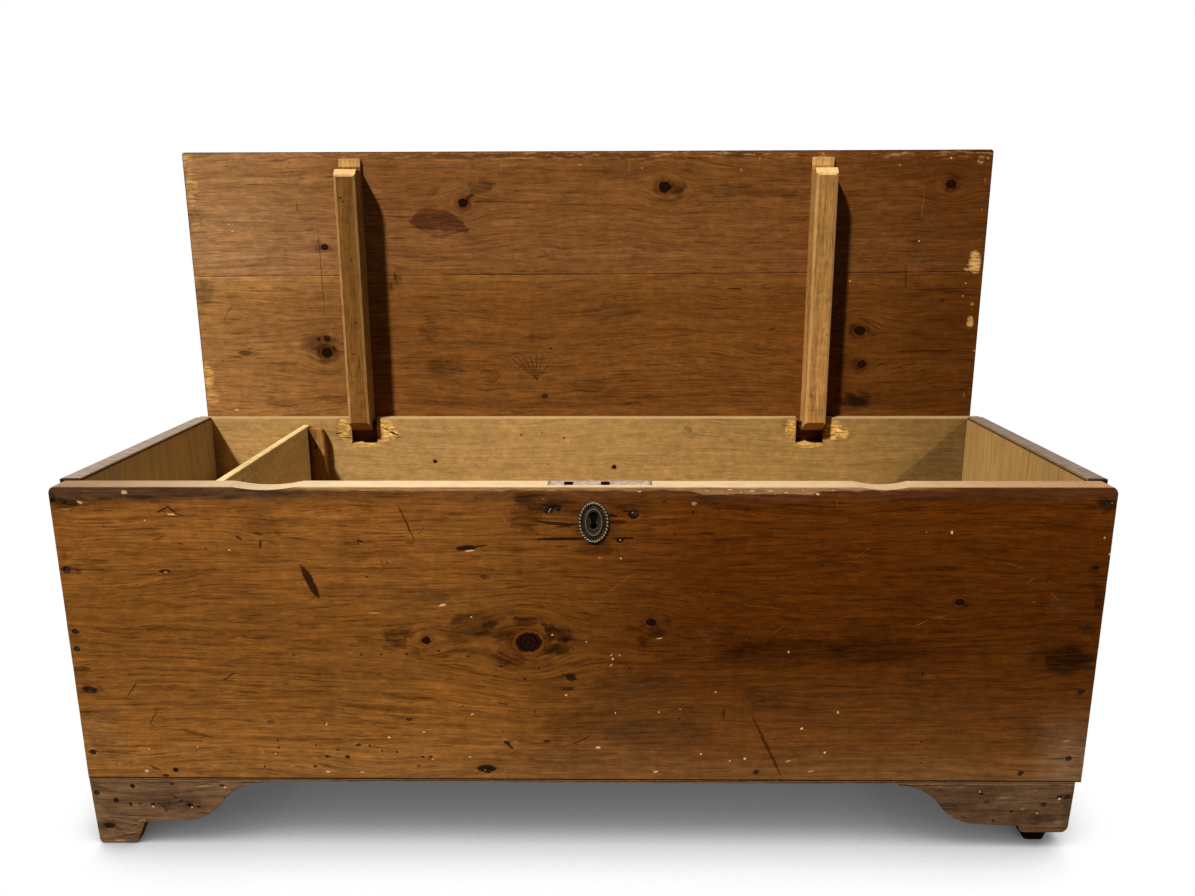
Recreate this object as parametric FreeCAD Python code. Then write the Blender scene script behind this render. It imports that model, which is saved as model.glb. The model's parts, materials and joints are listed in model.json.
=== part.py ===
import FreeCAD, Part
import math
import os

# Old pine blanket chest: a nailed box of boards on bracket feet, a two-board lid on battens that turn on
# iron pins in the back board, a chest lock in the front board and a till across the left end.
# The lid stands open. Millimetres; while modelling, x = 0 is the middle of the length, y = 0 the front
# face and z = 0 the floor. At the end everything moves to the frame: origin at the middle of the base.

os.makedirs("parts", exist_ok=True)
V = FreeCAD.Vector
X, Y, Z = V(1, 0, 0), V(0, 1, 0), V(0, 0, 1)

# ---- Driving dimensions ------------------------------------------------------------------------------
# Box
BOX_LENGTH = 1170.0
BOX_DEPTH = 400.0
RIM_HEIGHT = 447.0            # floor to the top edge of the front and back boards
FRONT_THICKNESS = 23.0
BACK_THICKNESS = 22.0
SIDE_THICKNESS = 23.0
SIDE_PROUD = 1.7              # the shrunken front leaves the side boards this much higher
BOTTOM_THICKNESS = 22.0
FRONT_ARRIS = 2.4             # worn front top edge
CORNER_WEAR_LEFT = 3.0
CORNER_WEAR_RIGHT = 10.0
# Base
FOOT_HEIGHT = 84.0
STRIP_THICKNESS = 3.8
STRIP_WIDTH = 32.0
BASE_INSET_RIGHT = 6.5
BRACKET_THICKNESS = 14.0
FRONT_BRACKET_LENGTH = 206.0
SIDE_BRACKET_LENGTH = 150.0
REAR_BRACKET_LENGTH = 120.0
TOE_LENGTH = 61.0
TOE_RISE = 29.0               # underside of the bracket beside the toe
TOE_TAPER = 3.0
TOE_SLANT = 13.0
TOE_WEAR_RIGHT = 20.7         # the front right brackets are worn off this far above the floor
OGEE_LENGTH = 98.0
OGEE_START = 33.0
BRACKET_TIP = 2.0
BLOCK_WORN = (39.5, 40.0)     # front right corner block, which carries that corner
BLOCK_TAPER = 9.0
BLOCK_SIZE = 30.0
BLOCK_LIFT = 36.0
# Lid
LID_SHORT_LEFT = 8.0          # the lid's ends inside the box's ends
LID_SHORT_RIGHT = 10.0
LID_THICKNESS = 20.0
LID_OVERHANG_FRONT = 1.8
LID_OVERHANG_REAR = 22.5
LID_ARRIS = 1.6
REAR_BOARD_LEFT = 249.8       # width of the tapered rear lid board at its two ends
REAR_BOARD_RIGHT = 254.3
STOP_GAP = 0.05               # open lid against the back board
REST_GAP = 0.35               # closed lid above the side boards
# Battens and hinge
BATTEN_WIDTH = 30.5
BATTEN_THICKNESS = 36.0
BATTEN_INSET_LEFT = 247.8     # middle of a batten to the box's end
BATTEN_INSET_RIGHT = 249.8
BATTEN_END_GAP = 0.7          # thick part of a batten to the front board, lid closed
BATTEN_CHAMFER = 8.5
BATTEN_ARRIS = 1.6
BATTEN_HEEL = 3.0
TONGUE_THICKNESS = 4.2
TONGUE_INSET = 7.9            # end of the tongue behind the front face, lid closed
PIN_RADIUS = 3.0
PIN_PLAY = 0.1
PIN_BITE = 20.0               # how far a pin runs into the back board on each side of its notch
NOTCH_TIGHT = 1.0
NOTCH_LOOSE_LEFT = 6.5
NOTCH_LOOSE_RIGHT = 9.0
NOTCH_FLOOR_GAP = 4.6
CHOP_WIDTH = 23.0             # chisel work on the inner face beside each notch
CHOP_DEPTH = 3.0
DIP_CLEAR = 0.5               # worn hollows in the front board, under the tongues
DIP_LEFT = (39.0, -9.8)       # half width, and centre measured from the batten's
DIP_RIGHT = (30.0, -2.3)
# Till
TILL_WIDTH = 136.0
TILL_THICKNESS = 11.0
TILL_DEPTH = 125.0
TILL_DROP = 10.0              # top of the till side below the rim
TILL_FLOOR = 10.0
CLEAT_THICKNESS = 12.0
CLEAT_WIDTH = 26.0
CLEAT_DROP = 3.0
CLEAT_WAVE = 4.0
CLEAT_ROUND = 30.0
# Lock
KEY_X = 15.3
KEY_DEPTH = 32.5              # rim down to the middle of the key's round hole
KEY_RADIUS = 5.3
KEY_TAIL_DROP = 13.5
KEY_TAIL_RADIUS = 4.0
KEY_WAIST = 3.5
PLATE_LEFT, PLATE_RIGHT = 51.0, 64.5
PLATE_THICKNESS = 2.0
PLATE_TOP_WIDTH = 18.5
PLATE_HEIGHT = 68.0
CASE_LEFT, CASE_RIGHT = 47.0, 46.0
CASE_DEPTH = 16.5
CASE_WALL = 1.5
CASE_HEIGHT = 52.0
SLOT_LENGTH = 9.2
SLOT_WIDTH = 11.0
SLOT_FROM_KEY = (-27.8, 12.8)
SLOT_FROM_FACE = 12.0
BOLT_THICKNESS = 5.0
BOLT_HEIGHT = 10.0
BOLT_THROW = 10.0
BOLT_PLAY = 0.2
BOLT_REST_GAP = 1.5           # finger tip to slot, unlocked
FINGER_ROOT = 4.0
FINGER_LENGTH = 4.5
FINGER_HEIGHT = 5.0
FINGER_RISE = 4.0
TALON_WIDTH = 10.0
TALON_DEPTH = 6.5
GUIDE_LENGTH = 7.0
GUIDE_LIP = 3.0
SPRING_THICKNESS = 1.0
DRILL_PIN_RADIUS = 2.0
DRILL_PIN_RECESS = 7.0        # end of the drill pin behind the front face
SCREW_RADIUS = 1.8
SCREW_HEAD_RADIUS = 3.4
SCREW_LENGTH = 14.0
SCREW_INSET = 7.0
# Escutcheon
ESC_WIDTH = 34.0
ESC_HEIGHT = 48.0
ESC_DROP = 8.3                # middle of the oval below the middle of the round key hole
ESC_THICKNESS = 1.4
ESC_RIM = 2.6                 # width of the raised rim
ESC_RISE = 1.3                # height of the rim above the plate
ESC_RING = (18.5, 33.0)       # raised inner oval
ESC_RING_WIDTH = 1.4
ESC_RING_RISE = 0.8
ESC_PIN_RADIUS = 0.8
ESC_PIN_SHORT = 0.5           # end of an escutcheon pin short of the lock's case
# Nails
NAIL_RADIUS = 1.7
NAIL_LENGTH = 44.0
HEAD_RADIUS = 3.5
HEAD_THICKNESS = 1.4
HEAD_SUNK = 0.7
TILL_NAIL_LENGTH = 24.0
FOOT_NAIL_DROPS = (16.0, 26.0)    # below the top of a bracket
# Nails up the ends of a wall: share of the board's height, and distance off the side board's middle
FRONT_SHARES_LEFT = (0.73, 0.52, 0.46, 0.32, 0.095)
FRONT_OFFS_LEFT = (-2.5, -3.5, -4.0, 4.5, -2.0)
FRONT_SHARES_RIGHT = (0.945, 0.61, 0.54, 0.40, 0.32, 0.085)
FRONT_OFFS_RIGHT = (-0.5, -3.5, 4.5, -3.5, 2.0, 6.0)
BACK_SHARES = (0.10, 0.36, 0.62, 0.86)
BACK_OFFS = (0.0, 2.0, -2.0, 1.0)
BATTEN_NAIL_SHARES = (0.10, 0.36, 0.64, 0.93)
# Nails into the edges of the bottom board, from the inner face of the left and of the right side board
BOTTOM_NAILS_LEFT = (82.0, 452.0)
BOTTOM_NAILS_RIGHT = (48.5, 357.0)

# ---- Values worked out from them ---------------------------------------------------------------------
END = BOX_LENGTH / 2
SEAM_Z = FOOT_HEIGHT + STRIP_THICKNESS            # underside of the box
BOARD_HEIGHT = RIM_HEIGHT - SEAM_Z
BACK_INNER = BOX_DEPTH - BACK_THICKNESS
SIDE_INNER = END - SIDE_THICKNESS
SIDE_TOP = RIM_HEIGHT + SIDE_PROUD
STANDOFF = BACK_THICKNESS / 2 + STOP_GAP          # hinge axis to the lid's inner face
AXIS_Y = BOX_DEPTH - BACK_THICKNESS / 2
AXIS_Z = SIDE_TOP + REST_GAP - STANDOFF
LID_FACE = AXIS_Y + STANDOFF
LID_BACK = LID_FACE + LID_THICKNESS
LID_TOP = AXIS_Z + AXIS_Y + LID_OVERHANG_FRONT
LID_LOW = AXIS_Z - BACK_THICKNESS / 2 - LID_OVERHANG_REAR
LID_X0 = -END + LID_SHORT_LEFT
LID_X1 = END - LID_SHORT_RIGHT
BATTEN_LEFT_X = -END + BATTEN_INSET_LEFT
BATTEN_RIGHT_X = END - BATTEN_INSET_RIGHT
BATTEN_FACE = LID_FACE - BATTEN_THICKNESS
BATTEN_END = AXIS_Z + AXIS_Y - FRONT_THICKNESS - BATTEN_END_GAP
TONGUE_END = AXIS_Z + AXIS_Y - TONGUE_INSET
NOTCH_FLOOR = AXIS_Z + STANDOFF - BATTEN_THICKNESS - NOTCH_FLOOR_GAP
BASE_RIGHT = END - BASE_INSET_RIGHT
KEY_Z = RIM_HEIGHT - KEY_DEPTH
TILL_SIDE_X = -SIDE_INNER + TILL_WIDTH            # left face of the till's side board
TILL_TOP = RIM_HEIGHT - TILL_DROP
FRONT_MOST = -(ESC_THICKNESS + ESC_RISE)


# ---- Small tools -------------------------------------------------------------------------------------
def block(x0, x1, y0, y1, z0, z1):
    return Part.makeBox(x1 - x0, y1 - y0, z1 - z0, V(x0, y0, z0))


def rounded(corners, place):
    """Closed wire through (u, v, radius) corners, each corner rounded by an arc of its radius."""
    points = [V(u, v, 0) for u, v, _ in corners]
    spans = []
    for i, p in enumerate(points):
        a = (points[i - 1] - p).normalize()
        b = (points[(i + 1) % len(points)] - p).normalize()
        r = corners[i][2]
        if r <= 0:
            spans.append((p, None, p))
            continue
        half = a.getAngle(b) / 2
        t = r / math.tan(half)
        middle = p + (a + b).normalize() * (r / math.sin(half) - r)
        spans.append((p + a * t, middle, p + b * t))
    edges = []
    for i, (start, middle, stop) in enumerate(spans):
        if middle is not None:
            edges.append(Part.Arc(place(start), place(middle), place(stop)).toShape())
        following = spans[(i + 1) % len(spans)][0]
        if (following - stop).Length > 1e-6:
            edges.append(Part.LineSegment(place(stop), place(following)).toShape())
    return Part.Wire(edges)


def prism_xz(corners, y0, y1):
    wire = rounded([(*c, 0) if len(c) == 2 else c for c in corners], lambda p: V(p.x, y0, p.y))
    return Part.Face(wire).extrude(V(0, y1 - y0, 0))


def prism_yz(corners, x0, x1):
    wire = rounded([(*c, 0) if len(c) == 2 else c for c in corners], lambda p: V(x0, p.x, p.y))
    return Part.Face(wire).extrude(V(x1 - x0, 0, 0))


def prism_xy(corners, z0, z1):
    wire = rounded([(*c, 0) if len(c) == 2 else c for c in corners], lambda p: V(p.x, p.y, z0))
    return Part.Face(wire).extrude(V(0, 0, z1 - z0))


def rod(start, direction, radius, length):
    return Part.makeCylinder(radius, length, start, direction)


def oval(width, height, y0, y1, x, z):
    """Upright elliptical plate about (x, z) between two depths."""
    ellipse = Part.Ellipse(V(x, y0, z + height / 2), V(x + width / 2, y0, z), V(x, y0, z))
    return Part.Face(Part.Wire(ellipse.toShape())).extrude(V(0, y1 - y0, 0))


def nail(place, direction, length=NAIL_LENGTH):
    """Nail driven at a surface point, its flat head just under the surface."""
    head = rod(place + direction * HEAD_SUNK, direction, HEAD_RADIUS, HEAD_THICKNESS)
    return head.fuse(rod(place + direction * HEAD_SUNK, direction, NAIL_RADIUS, length))


def nail_hole(place, direction, length=NAIL_LENGTH):
    """What a nail takes out of the wood, with the dent above its head."""
    dent = rod(place, direction, HEAD_RADIUS, HEAD_SUNK + HEAD_THICKNESS)
    return dent.fuse(rod(place + direction * HEAD_SUNK, direction, NAIL_RADIUS, length))


def together(shapes):
    return Part.makeCompound(shapes)


def without(shape, tools):
    return shape.cut(tools) if tools else shape


# ---- Nails: places first, since the boards take their holes from them --------------------------------
def end_nails(shares, offs, side, y, direction):
    centre = END - SIDE_THICKNESS / 2
    return [(V(side * (centre - off), y, SEAM_Z + share * BOARD_HEIGHT), direction)
            for share, off in zip(shares, offs)]


FRONT_NAIL_PLACES = (end_nails(FRONT_SHARES_LEFT, FRONT_OFFS_LEFT, -1, 0, Y)
                     + end_nails(FRONT_SHARES_RIGHT, FRONT_OFFS_RIGHT, 1, 0, Y))
BACK_NAIL_PLACES = (end_nails(BACK_SHARES, BACK_OFFS, -1, BOX_DEPTH, -Y)
                    + end_nails(BACK_SHARES, BACK_OFFS, 1, BOX_DEPTH, -Y))
BOTTOM_NAIL_PLACES = [(V(side * (SIDE_INNER - far), y, SEAM_Z + BOTTOM_THICKNESS / 2), d)
                      for side, insets in ((-1, BOTTOM_NAILS_LEFT), (1, BOTTOM_NAILS_RIGHT))
                      for far in insets for y, d in ((0, Y), (BOX_DEPTH, -Y))]
BATTEN_NAIL_PLACES = [(V(x, LID_BACK, BATTEN_END - share * (BATTEN_END - RIM_HEIGHT)), -Y)
                      for x in (BATTEN_LEFT_X, BATTEN_RIGHT_X) for share in BATTEN_NAIL_SHARES]


def nails(places, length=NAIL_LENGTH):
    return [nail(p, d, length) for p, d in places]


def holes(places, length=NAIL_LENGTH):
    return [nail_hole(p, d, length) for p, d in places]


# ---- Box ---------------------------------------------------------------------------------------------
def dip(batten_x, half_width, shift):
    """Worn hollow in the front board's top edge, an arc deep enough for the tongue above it."""
    need = TONGUE_THICKNESS - SIDE_PROUD - REST_GAP + DIP_CLEAR
    reach = BATTEN_WIDTH / 2 + abs(shift)
    depth = need / (1 - (reach / half_width) ** 2)
    radius = (half_width ** 2 + depth ** 2) / (2 * depth)
    centre = V(batten_x + shift, -1, RIM_HEIGHT + radius - depth)
    return rod(centre, Y, radius, FRONT_THICKNESS + 2)


def keyhole(y0, y1):
    """Round hole with a waist and a smaller round foot."""
    tail_z = KEY_Z - KEY_TAIL_DROP
    return (rod(V(KEY_X, y0, KEY_Z), Y, KEY_RADIUS, y1 - y0)
            .fuse(rod(V(KEY_X, y0, tail_z), Y, KEY_TAIL_RADIUS, y1 - y0))
            .fuse(block(KEY_X - KEY_WAIST, KEY_X + KEY_WAIST, y0, y1, tail_z, KEY_Z)))


def front_board():
    face = prism_xz([(-END, SEAM_Z), (END, SEAM_Z), (END, RIM_HEIGHT, CORNER_WEAR_RIGHT),
                     (-END, RIM_HEIGHT, CORNER_WEAR_LEFT)], 0, FRONT_THICKNESS)
    section = prism_yz([(0, SEAM_Z), (FRONT_THICKNESS, SEAM_Z), (FRONT_THICKNESS, RIM_HEIGHT, 0.6),
                        (0, RIM_HEIGHT, FRONT_ARRIS)], -END, END)
    board = face.common(section)
    board = board.cut([dip(BATTEN_LEFT_X, *DIP_LEFT), dip(BATTEN_RIGHT_X, *DIP_RIGHT)])
    board = board.cut([lock_recess(), case_outside(), keyhole(-1, FRONT_THICKNESS)])
    board = board.cut([esc_pin(s) for s in (-1, 1)] + [lock_screw(p) for p in screw_places()])
    front_bottom = [n for n in BOTTOM_NAIL_PLACES if n[1] == Y]
    return board.cut(holes(FRONT_NAIL_PLACES + front_bottom) + cleat_nail_set(0))


def notch(batten_x, left_gap, right_gap):
    x0, x1 = batten_x - BATTEN_WIDTH / 2 - left_gap, batten_x + BATTEN_WIDTH / 2 + right_gap
    return x0, x1


NOTCHES = (notch(BATTEN_LEFT_X, NOTCH_TIGHT, NOTCH_LOOSE_LEFT),
           notch(BATTEN_RIGHT_X, NOTCH_LOOSE_RIGHT, NOTCH_TIGHT))


def hinge_pin(x0, x1):
    return rod(V(x0 - PIN_BITE, AXIS_Y, AXIS_Z), X, PIN_RADIUS, x1 - x0 + 2 * PIN_BITE)


def chopped(x0, x1):
    """Shallow chisel work on the inner face, deepest at the notch's two walls."""
    cuts = []
    for wall, away in ((x0, -1), (x1, 1)):
        outline = [(wall, BACK_INNER - 1), (wall, BACK_INNER + CHOP_DEPTH),
                   (wall + away * CHOP_WIDTH / 2, BACK_INNER + CHOP_DEPTH / 2),
                   (wall + away * CHOP_WIDTH, BACK_INNER), (wall + away * CHOP_WIDTH, BACK_INNER - 1)]
        cuts.append(prism_xy(outline, NOTCH_FLOOR + CHOP_DEPTH, RIM_HEIGHT + 1))
    return cuts


def back_board():
    section = [(BACK_INNER, SEAM_Z), (BOX_DEPTH, SEAM_Z), (BOX_DEPTH, RIM_HEIGHT),
               (BACK_INNER, RIM_HEIGHT, 1.0)]
    board = prism_yz(section, -END, END)
    # the rear top edge is rounded about the hinge axis, so that the lid's face rolls past it
    corner = block(-END - 1, END + 1, AXIS_Y, BOX_DEPTH + 1, AXIS_Z, RIM_HEIGHT + 1)
    kept = rod(V(-END - 2, AXIS_Y, AXIS_Z), X, STANDOFF - REST_GAP, BOX_LENGTH + 4)
    board = board.cut(corner.cut(kept))
    for x0, x1 in NOTCHES:
        board = board.cut([block(x0, x1, BACK_INNER - 1, BOX_DEPTH + 1, NOTCH_FLOOR, RIM_HEIGHT + 1),
                           hinge_pin(x0, x1)] + chopped(x0, x1))
    back_bottom = [n for n in BOTTOM_NAIL_PLACES if n[1] == -Y]
    return board.cut(holes(BACK_NAIL_PLACES + back_bottom) + cleat_nail_set(1))


def side_board(side):
    x0, x1 = sorted((side * END, side * SIDE_INNER))
    board = prism_xz([(x0, SEAM_Z), (x1, SEAM_Z), (x1, SIDE_TOP, 0.8), (x0, SIDE_TOP, 0.8)],
                     FRONT_THICKNESS, BACK_INNER)
    near = [n for n in FRONT_NAIL_PLACES + BACK_NAIL_PLACES if n[0].x * side > 0]
    return board.cut(holes(near))


def bottom_board():
    board = block(-SIDE_INNER, SIDE_INNER, FRONT_THICKNESS, BACK_INNER, SEAM_Z, SEAM_Z + BOTTOM_THICKNESS)
    return board.cut(holes(BOTTOM_NAIL_PLACES))


# ---- Till --------------------------------------------------------------------------------------------
def till_side():
    x0, x1 = TILL_SIDE_X, TILL_SIDE_X + TILL_THICKNESS
    z0 = TILL_TOP - TILL_DEPTH
    return prism_xz([(x0, z0), (x1, z0), (x1, TILL_TOP, 2.0), (x0, TILL_TOP, 2.0)], FRONT_THICKNESS, BACK_INNER)


def till_bottom():
    z = TILL_TOP - TILL_DEPTH
    return block(-SIDE_INNER, TILL_SIDE_X, FRONT_THICKNESS, BACK_INNER, z, z + TILL_FLOOR)


def cleat_places():
    """Nail heights on a cleat, and its middle."""
    top = TILL_TOP - CLEAT_DROP
    low = TILL_TOP - TILL_DEPTH
    x = TILL_SIDE_X + TILL_THICKNESS + CLEAT_WIDTH / 2
    return [(x, low + share * (top - low)) for share in (0.2, 0.78)]


def cleat_nail_set(back, make=nail_hole):
    y, d = (BACK_INNER - CLEAT_THICKNESS, Y) if back else (FRONT_THICKNESS + CLEAT_THICKNESS, -Y)
    return [make(V(x, y, z), d, TILL_NAIL_LENGTH) for x, z in cleat_places()]


def till_cleat(back):
    """Rough-edged cleat that holds one end of the till's side board."""
    x0 = TILL_SIDE_X + TILL_THICKNESS
    x1 = x0 + CLEAT_WIDTH
    z0, z1 = TILL_TOP - TILL_DEPTH, TILL_TOP - CLEAT_DROP
    h = z1 - z0
    edge = [(x1, z0, 0), (x1, z0 + 0.3 * h, CLEAT_ROUND), (x1 - CLEAT_WAVE, z0 + 0.55 * h, CLEAT_ROUND),
            (x1 - CLEAT_WAVE, z0 + 0.8 * h, 0.7 * CLEAT_ROUND), (x1 - 2 * CLEAT_WAVE, z1, 0.1 * CLEAT_ROUND)]
    y0 = BACK_INNER - CLEAT_THICKNESS if back else FRONT_THICKNESS
    return prism_xz([(x0, z0), *edge, (x0, z1)], y0, y0 + CLEAT_THICKNESS).cut(cleat_nail_set(back))


# ---- Base --------------------------------------------------------------------------------------------
def strip(x0, x1, y0, y1):
    return block(x0, x1, y0, y1, FOOT_HEIGHT, SEAM_Z)


def ogee_outline(length, toe_bottom, ogee_length, taper):
    """Bracket outline in (distance from the outer end, height): toe, flat run, ogee up to a thin tip."""
    rise = FOOT_HEIGHT - BRACKET_TIP - OGEE_START
    bend = 2 * math.atan(rise / ogee_length)
    tangent = rise / (2 * math.sin(bend))
    radius = 0.95 * tangent / math.tan(bend / 2)
    slope = TOE_SLANT * (TOE_RISE - toe_bottom) / TOE_RISE
    share = toe_bottom / FOOT_HEIGHT
    toe_round = min(9.0, 0.4 * (TOE_RISE - toe_bottom) + 2)
    return [(0, FOOT_HEIGHT, 0), (taper * (1 - share), toe_bottom, 6.0 if toe_bottom < 1 else 9.0),
            (TOE_LENGTH - slope, toe_bottom, 0.6 * toe_round), (TOE_LENGTH, TOE_RISE, 0.4 * toe_round),
            (length - ogee_length + tangent, OGEE_START, radius),
            (length - tangent, FOOT_HEIGHT - BRACKET_TIP, radius),
            (length, FOOT_HEIGHT - BRACKET_TIP, 0), (length, FOOT_HEIGHT, 0)]


def plain_outline(length, taper):
    return [(0, FOOT_HEIGHT, 0), (taper, 0, 6.0), (TOE_LENGTH - TOE_SLANT, 0, 6.0),
            (TOE_LENGTH, TOE_RISE, 12.0), (length, FOOT_HEIGHT - BRACKET_TIP, 0), (length, FOOT_HEIGHT, 0)]


def end_x(side):
    """Outer face of the base at one end."""
    return -END if side < 0 else BASE_RIGHT


def toe_bottom(side, rear):
    return 0.0 if side < 0 or rear else TOE_WEAR_RIGHT


def cross_bracket(side, rear):
    """Bracket on the front or the back, outer end at the base's corner."""
    outline = (plain_outline(REAR_BRACKET_LENGTH, TOE_TAPER) if rear else
               ogee_outline(FRONT_BRACKET_LENGTH, toe_bottom(side, rear), OGEE_LENGTH, TOE_TAPER))
    corners = [(end_x(side) - side * u, v, r) for u, v, r in outline]
    y0, y1 = (BOX_DEPTH - BRACKET_THICKNESS, BOX_DEPTH) if rear else (0, BRACKET_THICKNESS)
    return prism_xz(corners, y0, y1).cut(holes(foot_nail_places(side, rear)))


def side_bracket(side, rear):
    """Bracket on an end of the chest, butted against the front or rear bracket."""
    length = SIDE_BRACKET_LENGTH
    outline = ogee_outline(length, toe_bottom(side, rear), min(OGEE_LENGTH, length - TOE_LENGTH - 8), 0.0)
    start, away = (BOX_DEPTH - BRACKET_THICKNESS, -1) if rear else (BRACKET_THICKNESS, 1)
    x0, x1 = sorted((end_x(side), end_x(side) - side * BRACKET_THICKNESS))
    corners = [(start + away * u, v, r) for u, v, r in outline]
    return prism_yz(corners, x0, x1).cut(holes(foot_nail_places(side, rear)))


def foot_nail_places(side, rear):
    """One nail into the end of the side bracket, one into the corner block."""
    y, d = (BOX_DEPTH, -Y) if rear else (0, Y)
    first = end_x(side) - side * BRACKET_THICKNESS / 2
    width, _, _ = block_size(side, rear)
    second = end_x(side) - side * (BRACKET_THICKNESS + width / 2)
    return [(V(x, y, FOOT_HEIGHT - drop), d) for x, drop in zip((first, second), FOOT_NAIL_DROPS)]


def block_size(side, rear):
    """Width, depth and clearance above the floor of a corner block."""
    if side > 0 and not rear:
        return (*BLOCK_WORN, 0.0)
    return BLOCK_SIZE, BLOCK_SIZE, BLOCK_LIFT


def corner_block(side, rear):
    width, depth, lift = block_size(side, rear)
    x = end_x(side) - side * BRACKET_THICKNESS
    y0, y1 = ((BOX_DEPTH - BRACKET_THICKNESS - depth, BOX_DEPTH - BRACKET_THICKNESS) if rear else
              (BRACKET_THICKNESS, BRACKET_THICKNESS + depth))
    outline = [(x, FOOT_HEIGHT), (x, lift), (x - side * width, lift), (x - side * width, FOOT_HEIGHT)]
    if lift == 0:   # worn round at the floor
        outline = [(x, FOOT_HEIGHT, 0), (x, TOE_WEAR_RIGHT, 3), (x - side * BLOCK_TAPER, 0, 4),
                   (x - side * (width - BLOCK_TAPER), 0, 4), (x - side * width, TOE_WEAR_RIGHT, 3),
                   (x - side * width, FOOT_HEIGHT, 0)]
    return prism_xz(outline, y0, y1).cut(holes(foot_nail_places(side, rear)))


# ---- Lid ---------------------------------------------------------------------------------------------
def lid_section(z0, z1, low_arris, top_arris):
    """Board section: worn arrises at the lid's free edges, square at the seam."""
    return prism_yz([(LID_FACE, z0, low_arris), (LID_BACK, z0, low_arris), (LID_BACK, z1, top_arris),
                     (LID_FACE, z1, top_arris)], LID_X0, LID_X1)


def seam_z(x):
    share = (x - LID_X0) / (LID_X1 - LID_X0)
    return LID_LOW + REAR_BOARD_LEFT + share * (REAR_BOARD_RIGHT - REAR_BOARD_LEFT)


def lid_rear_board():
    high = LID_LOW + max(REAR_BOARD_LEFT, REAR_BOARD_RIGHT) + 1
    outline = prism_xz([(LID_X0, LID_LOW), (LID_X1, LID_LOW), (LID_X1, seam_z(LID_X1)),
                        (LID_X0, seam_z(LID_X0))], LID_FACE, LID_BACK)
    return lid_section(LID_LOW, high, LID_ARRIS, 0).common(outline).cut(holes(BATTEN_NAIL_PLACES))


def lid_front_board():
    low = LID_LOW + min(REAR_BOARD_LEFT, REAR_BOARD_RIGHT) - 1
    outline = prism_xz([(LID_X0, seam_z(LID_X0)), (LID_X1, seam_z(LID_X1)), (LID_X1, LID_TOP, 4),
                        (LID_X0, LID_TOP, 4)], LID_FACE, LID_BACK)
    return lid_section(low, LID_TOP, 0, LID_ARRIS).common(outline).cut(holes(BATTEN_NAIL_PLACES))


def batten(x):
    """Thick batten with a rounded rear end about the pin and a thin tongue at its front end."""
    tongue = LID_FACE - TONGUE_THICKNESS
    outline = Part.Wire([Part.LineSegment(V(0, a, b), V(0, c, d)).toShape() for a, b, c, d in (
        (LID_FACE, AXIS_Z, LID_FACE, TONGUE_END),
        (LID_FACE, TONGUE_END, tongue, TONGUE_END),
        (tongue, TONGUE_END, tongue, BATTEN_END),
        (tongue, BATTEN_END, BATTEN_FACE + BATTEN_CHAMFER, BATTEN_END),
        (BATTEN_FACE + BATTEN_CHAMFER, BATTEN_END, BATTEN_FACE, BATTEN_END - BATTEN_CHAMFER),
        (BATTEN_FACE, BATTEN_END - BATTEN_CHAMFER, BATTEN_FACE, AXIS_Z + BATTEN_HEEL),
        (BATTEN_FACE, AXIS_Z + BATTEN_HEEL, *heel_touch()))] + [heel_arc()])
    body = Part.Face(outline).extrude(V(BATTEN_WIDTH, 0, 0))
    body.translate(V(x - BATTEN_WIDTH / 2, 0, 0))
    # broken front arrises
    a = BATTEN_ARRIS
    x0, x1 = x - BATTEN_WIDTH / 2, x + BATTEN_WIDTH / 2
    section = prism_xy([(x0, LID_FACE + 1), (x0, BATTEN_FACE + a), (x0 + a, BATTEN_FACE),
                        (x1 - a, BATTEN_FACE), (x1, BATTEN_FACE + a), (x1, LID_FACE + 1)],
                       AXIS_Z - STANDOFF - 1, TONGUE_END + 1)
    body = body.common(section)
    bore = rod(V(x0 - 1, AXIS_Y, AXIS_Z), X, PIN_RADIUS + PIN_PLAY, BATTEN_WIDTH + 2)
    return body.cut([bore] + holes(BATTEN_NAIL_PLACES))


def heel_touch():
    """Where the slanted heel of a batten runs into the round about the pin."""
    from_axis = V(0, BATTEN_FACE - AXIS_Y, BATTEN_HEEL)
    reach = math.acos(STANDOFF / from_axis.Length)
    angle = math.atan2(from_axis.z, from_axis.y) % (2 * math.pi) + reach
    return AXIS_Y + STANDOFF * math.cos(angle), AXIS_Z + STANDOFF * math.sin(angle)


def heel_arc():
    y, z = heel_touch()
    start = math.atan2(z - AXIS_Z, y - AXIS_Y) % (2 * math.pi)
    half = (start + 2 * math.pi) / 2
    middle = V(0, AXIS_Y + STANDOFF * math.cos(half), AXIS_Z + STANDOFF * math.sin(half))
    return Part.Arc(V(0, y, z), middle, V(0, LID_FACE, AXIS_Z)).toShape()


# ---- Lock --------------------------------------------------------------------------------------------
CASE_X0, CASE_X1 = KEY_X - CASE_LEFT, KEY_X + CASE_RIGHT
CASE_TOP = RIM_HEIGHT - PLATE_THICKNESS
CASE_Z0 = CASE_TOP - CASE_HEIGHT
CASE_Y1 = FRONT_THICKNESS - PLATE_THICKNESS
CASE_Y0 = CASE_Y1 - CASE_DEPTH
BOLT_Y0 = SLOT_FROM_FACE - BOLT_THICKNESS / 2
BOLT_Z0 = KEY_Z + TALON_DEPTH
BOLT_Z1 = BOLT_Z0 + BOLT_HEIGHT
GUIDE_X = (CASE_X0 + CASE_WALL, KEY_X + SLOT_FROM_KEY[1] + SLOT_LENGTH)


def plate_spans():
    x0, x1 = KEY_X - PLATE_LEFT, KEY_X + PLATE_RIGHT
    back = block(x0, x1, CASE_Y1, FRONT_THICKNESS, RIM_HEIGHT - PLATE_HEIGHT, RIM_HEIGHT)
    top = block(x0, x1, FRONT_THICKNESS - PLATE_TOP_WIDTH, FRONT_THICKNESS, CASE_TOP, RIM_HEIGHT)
    return back, top


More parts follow.
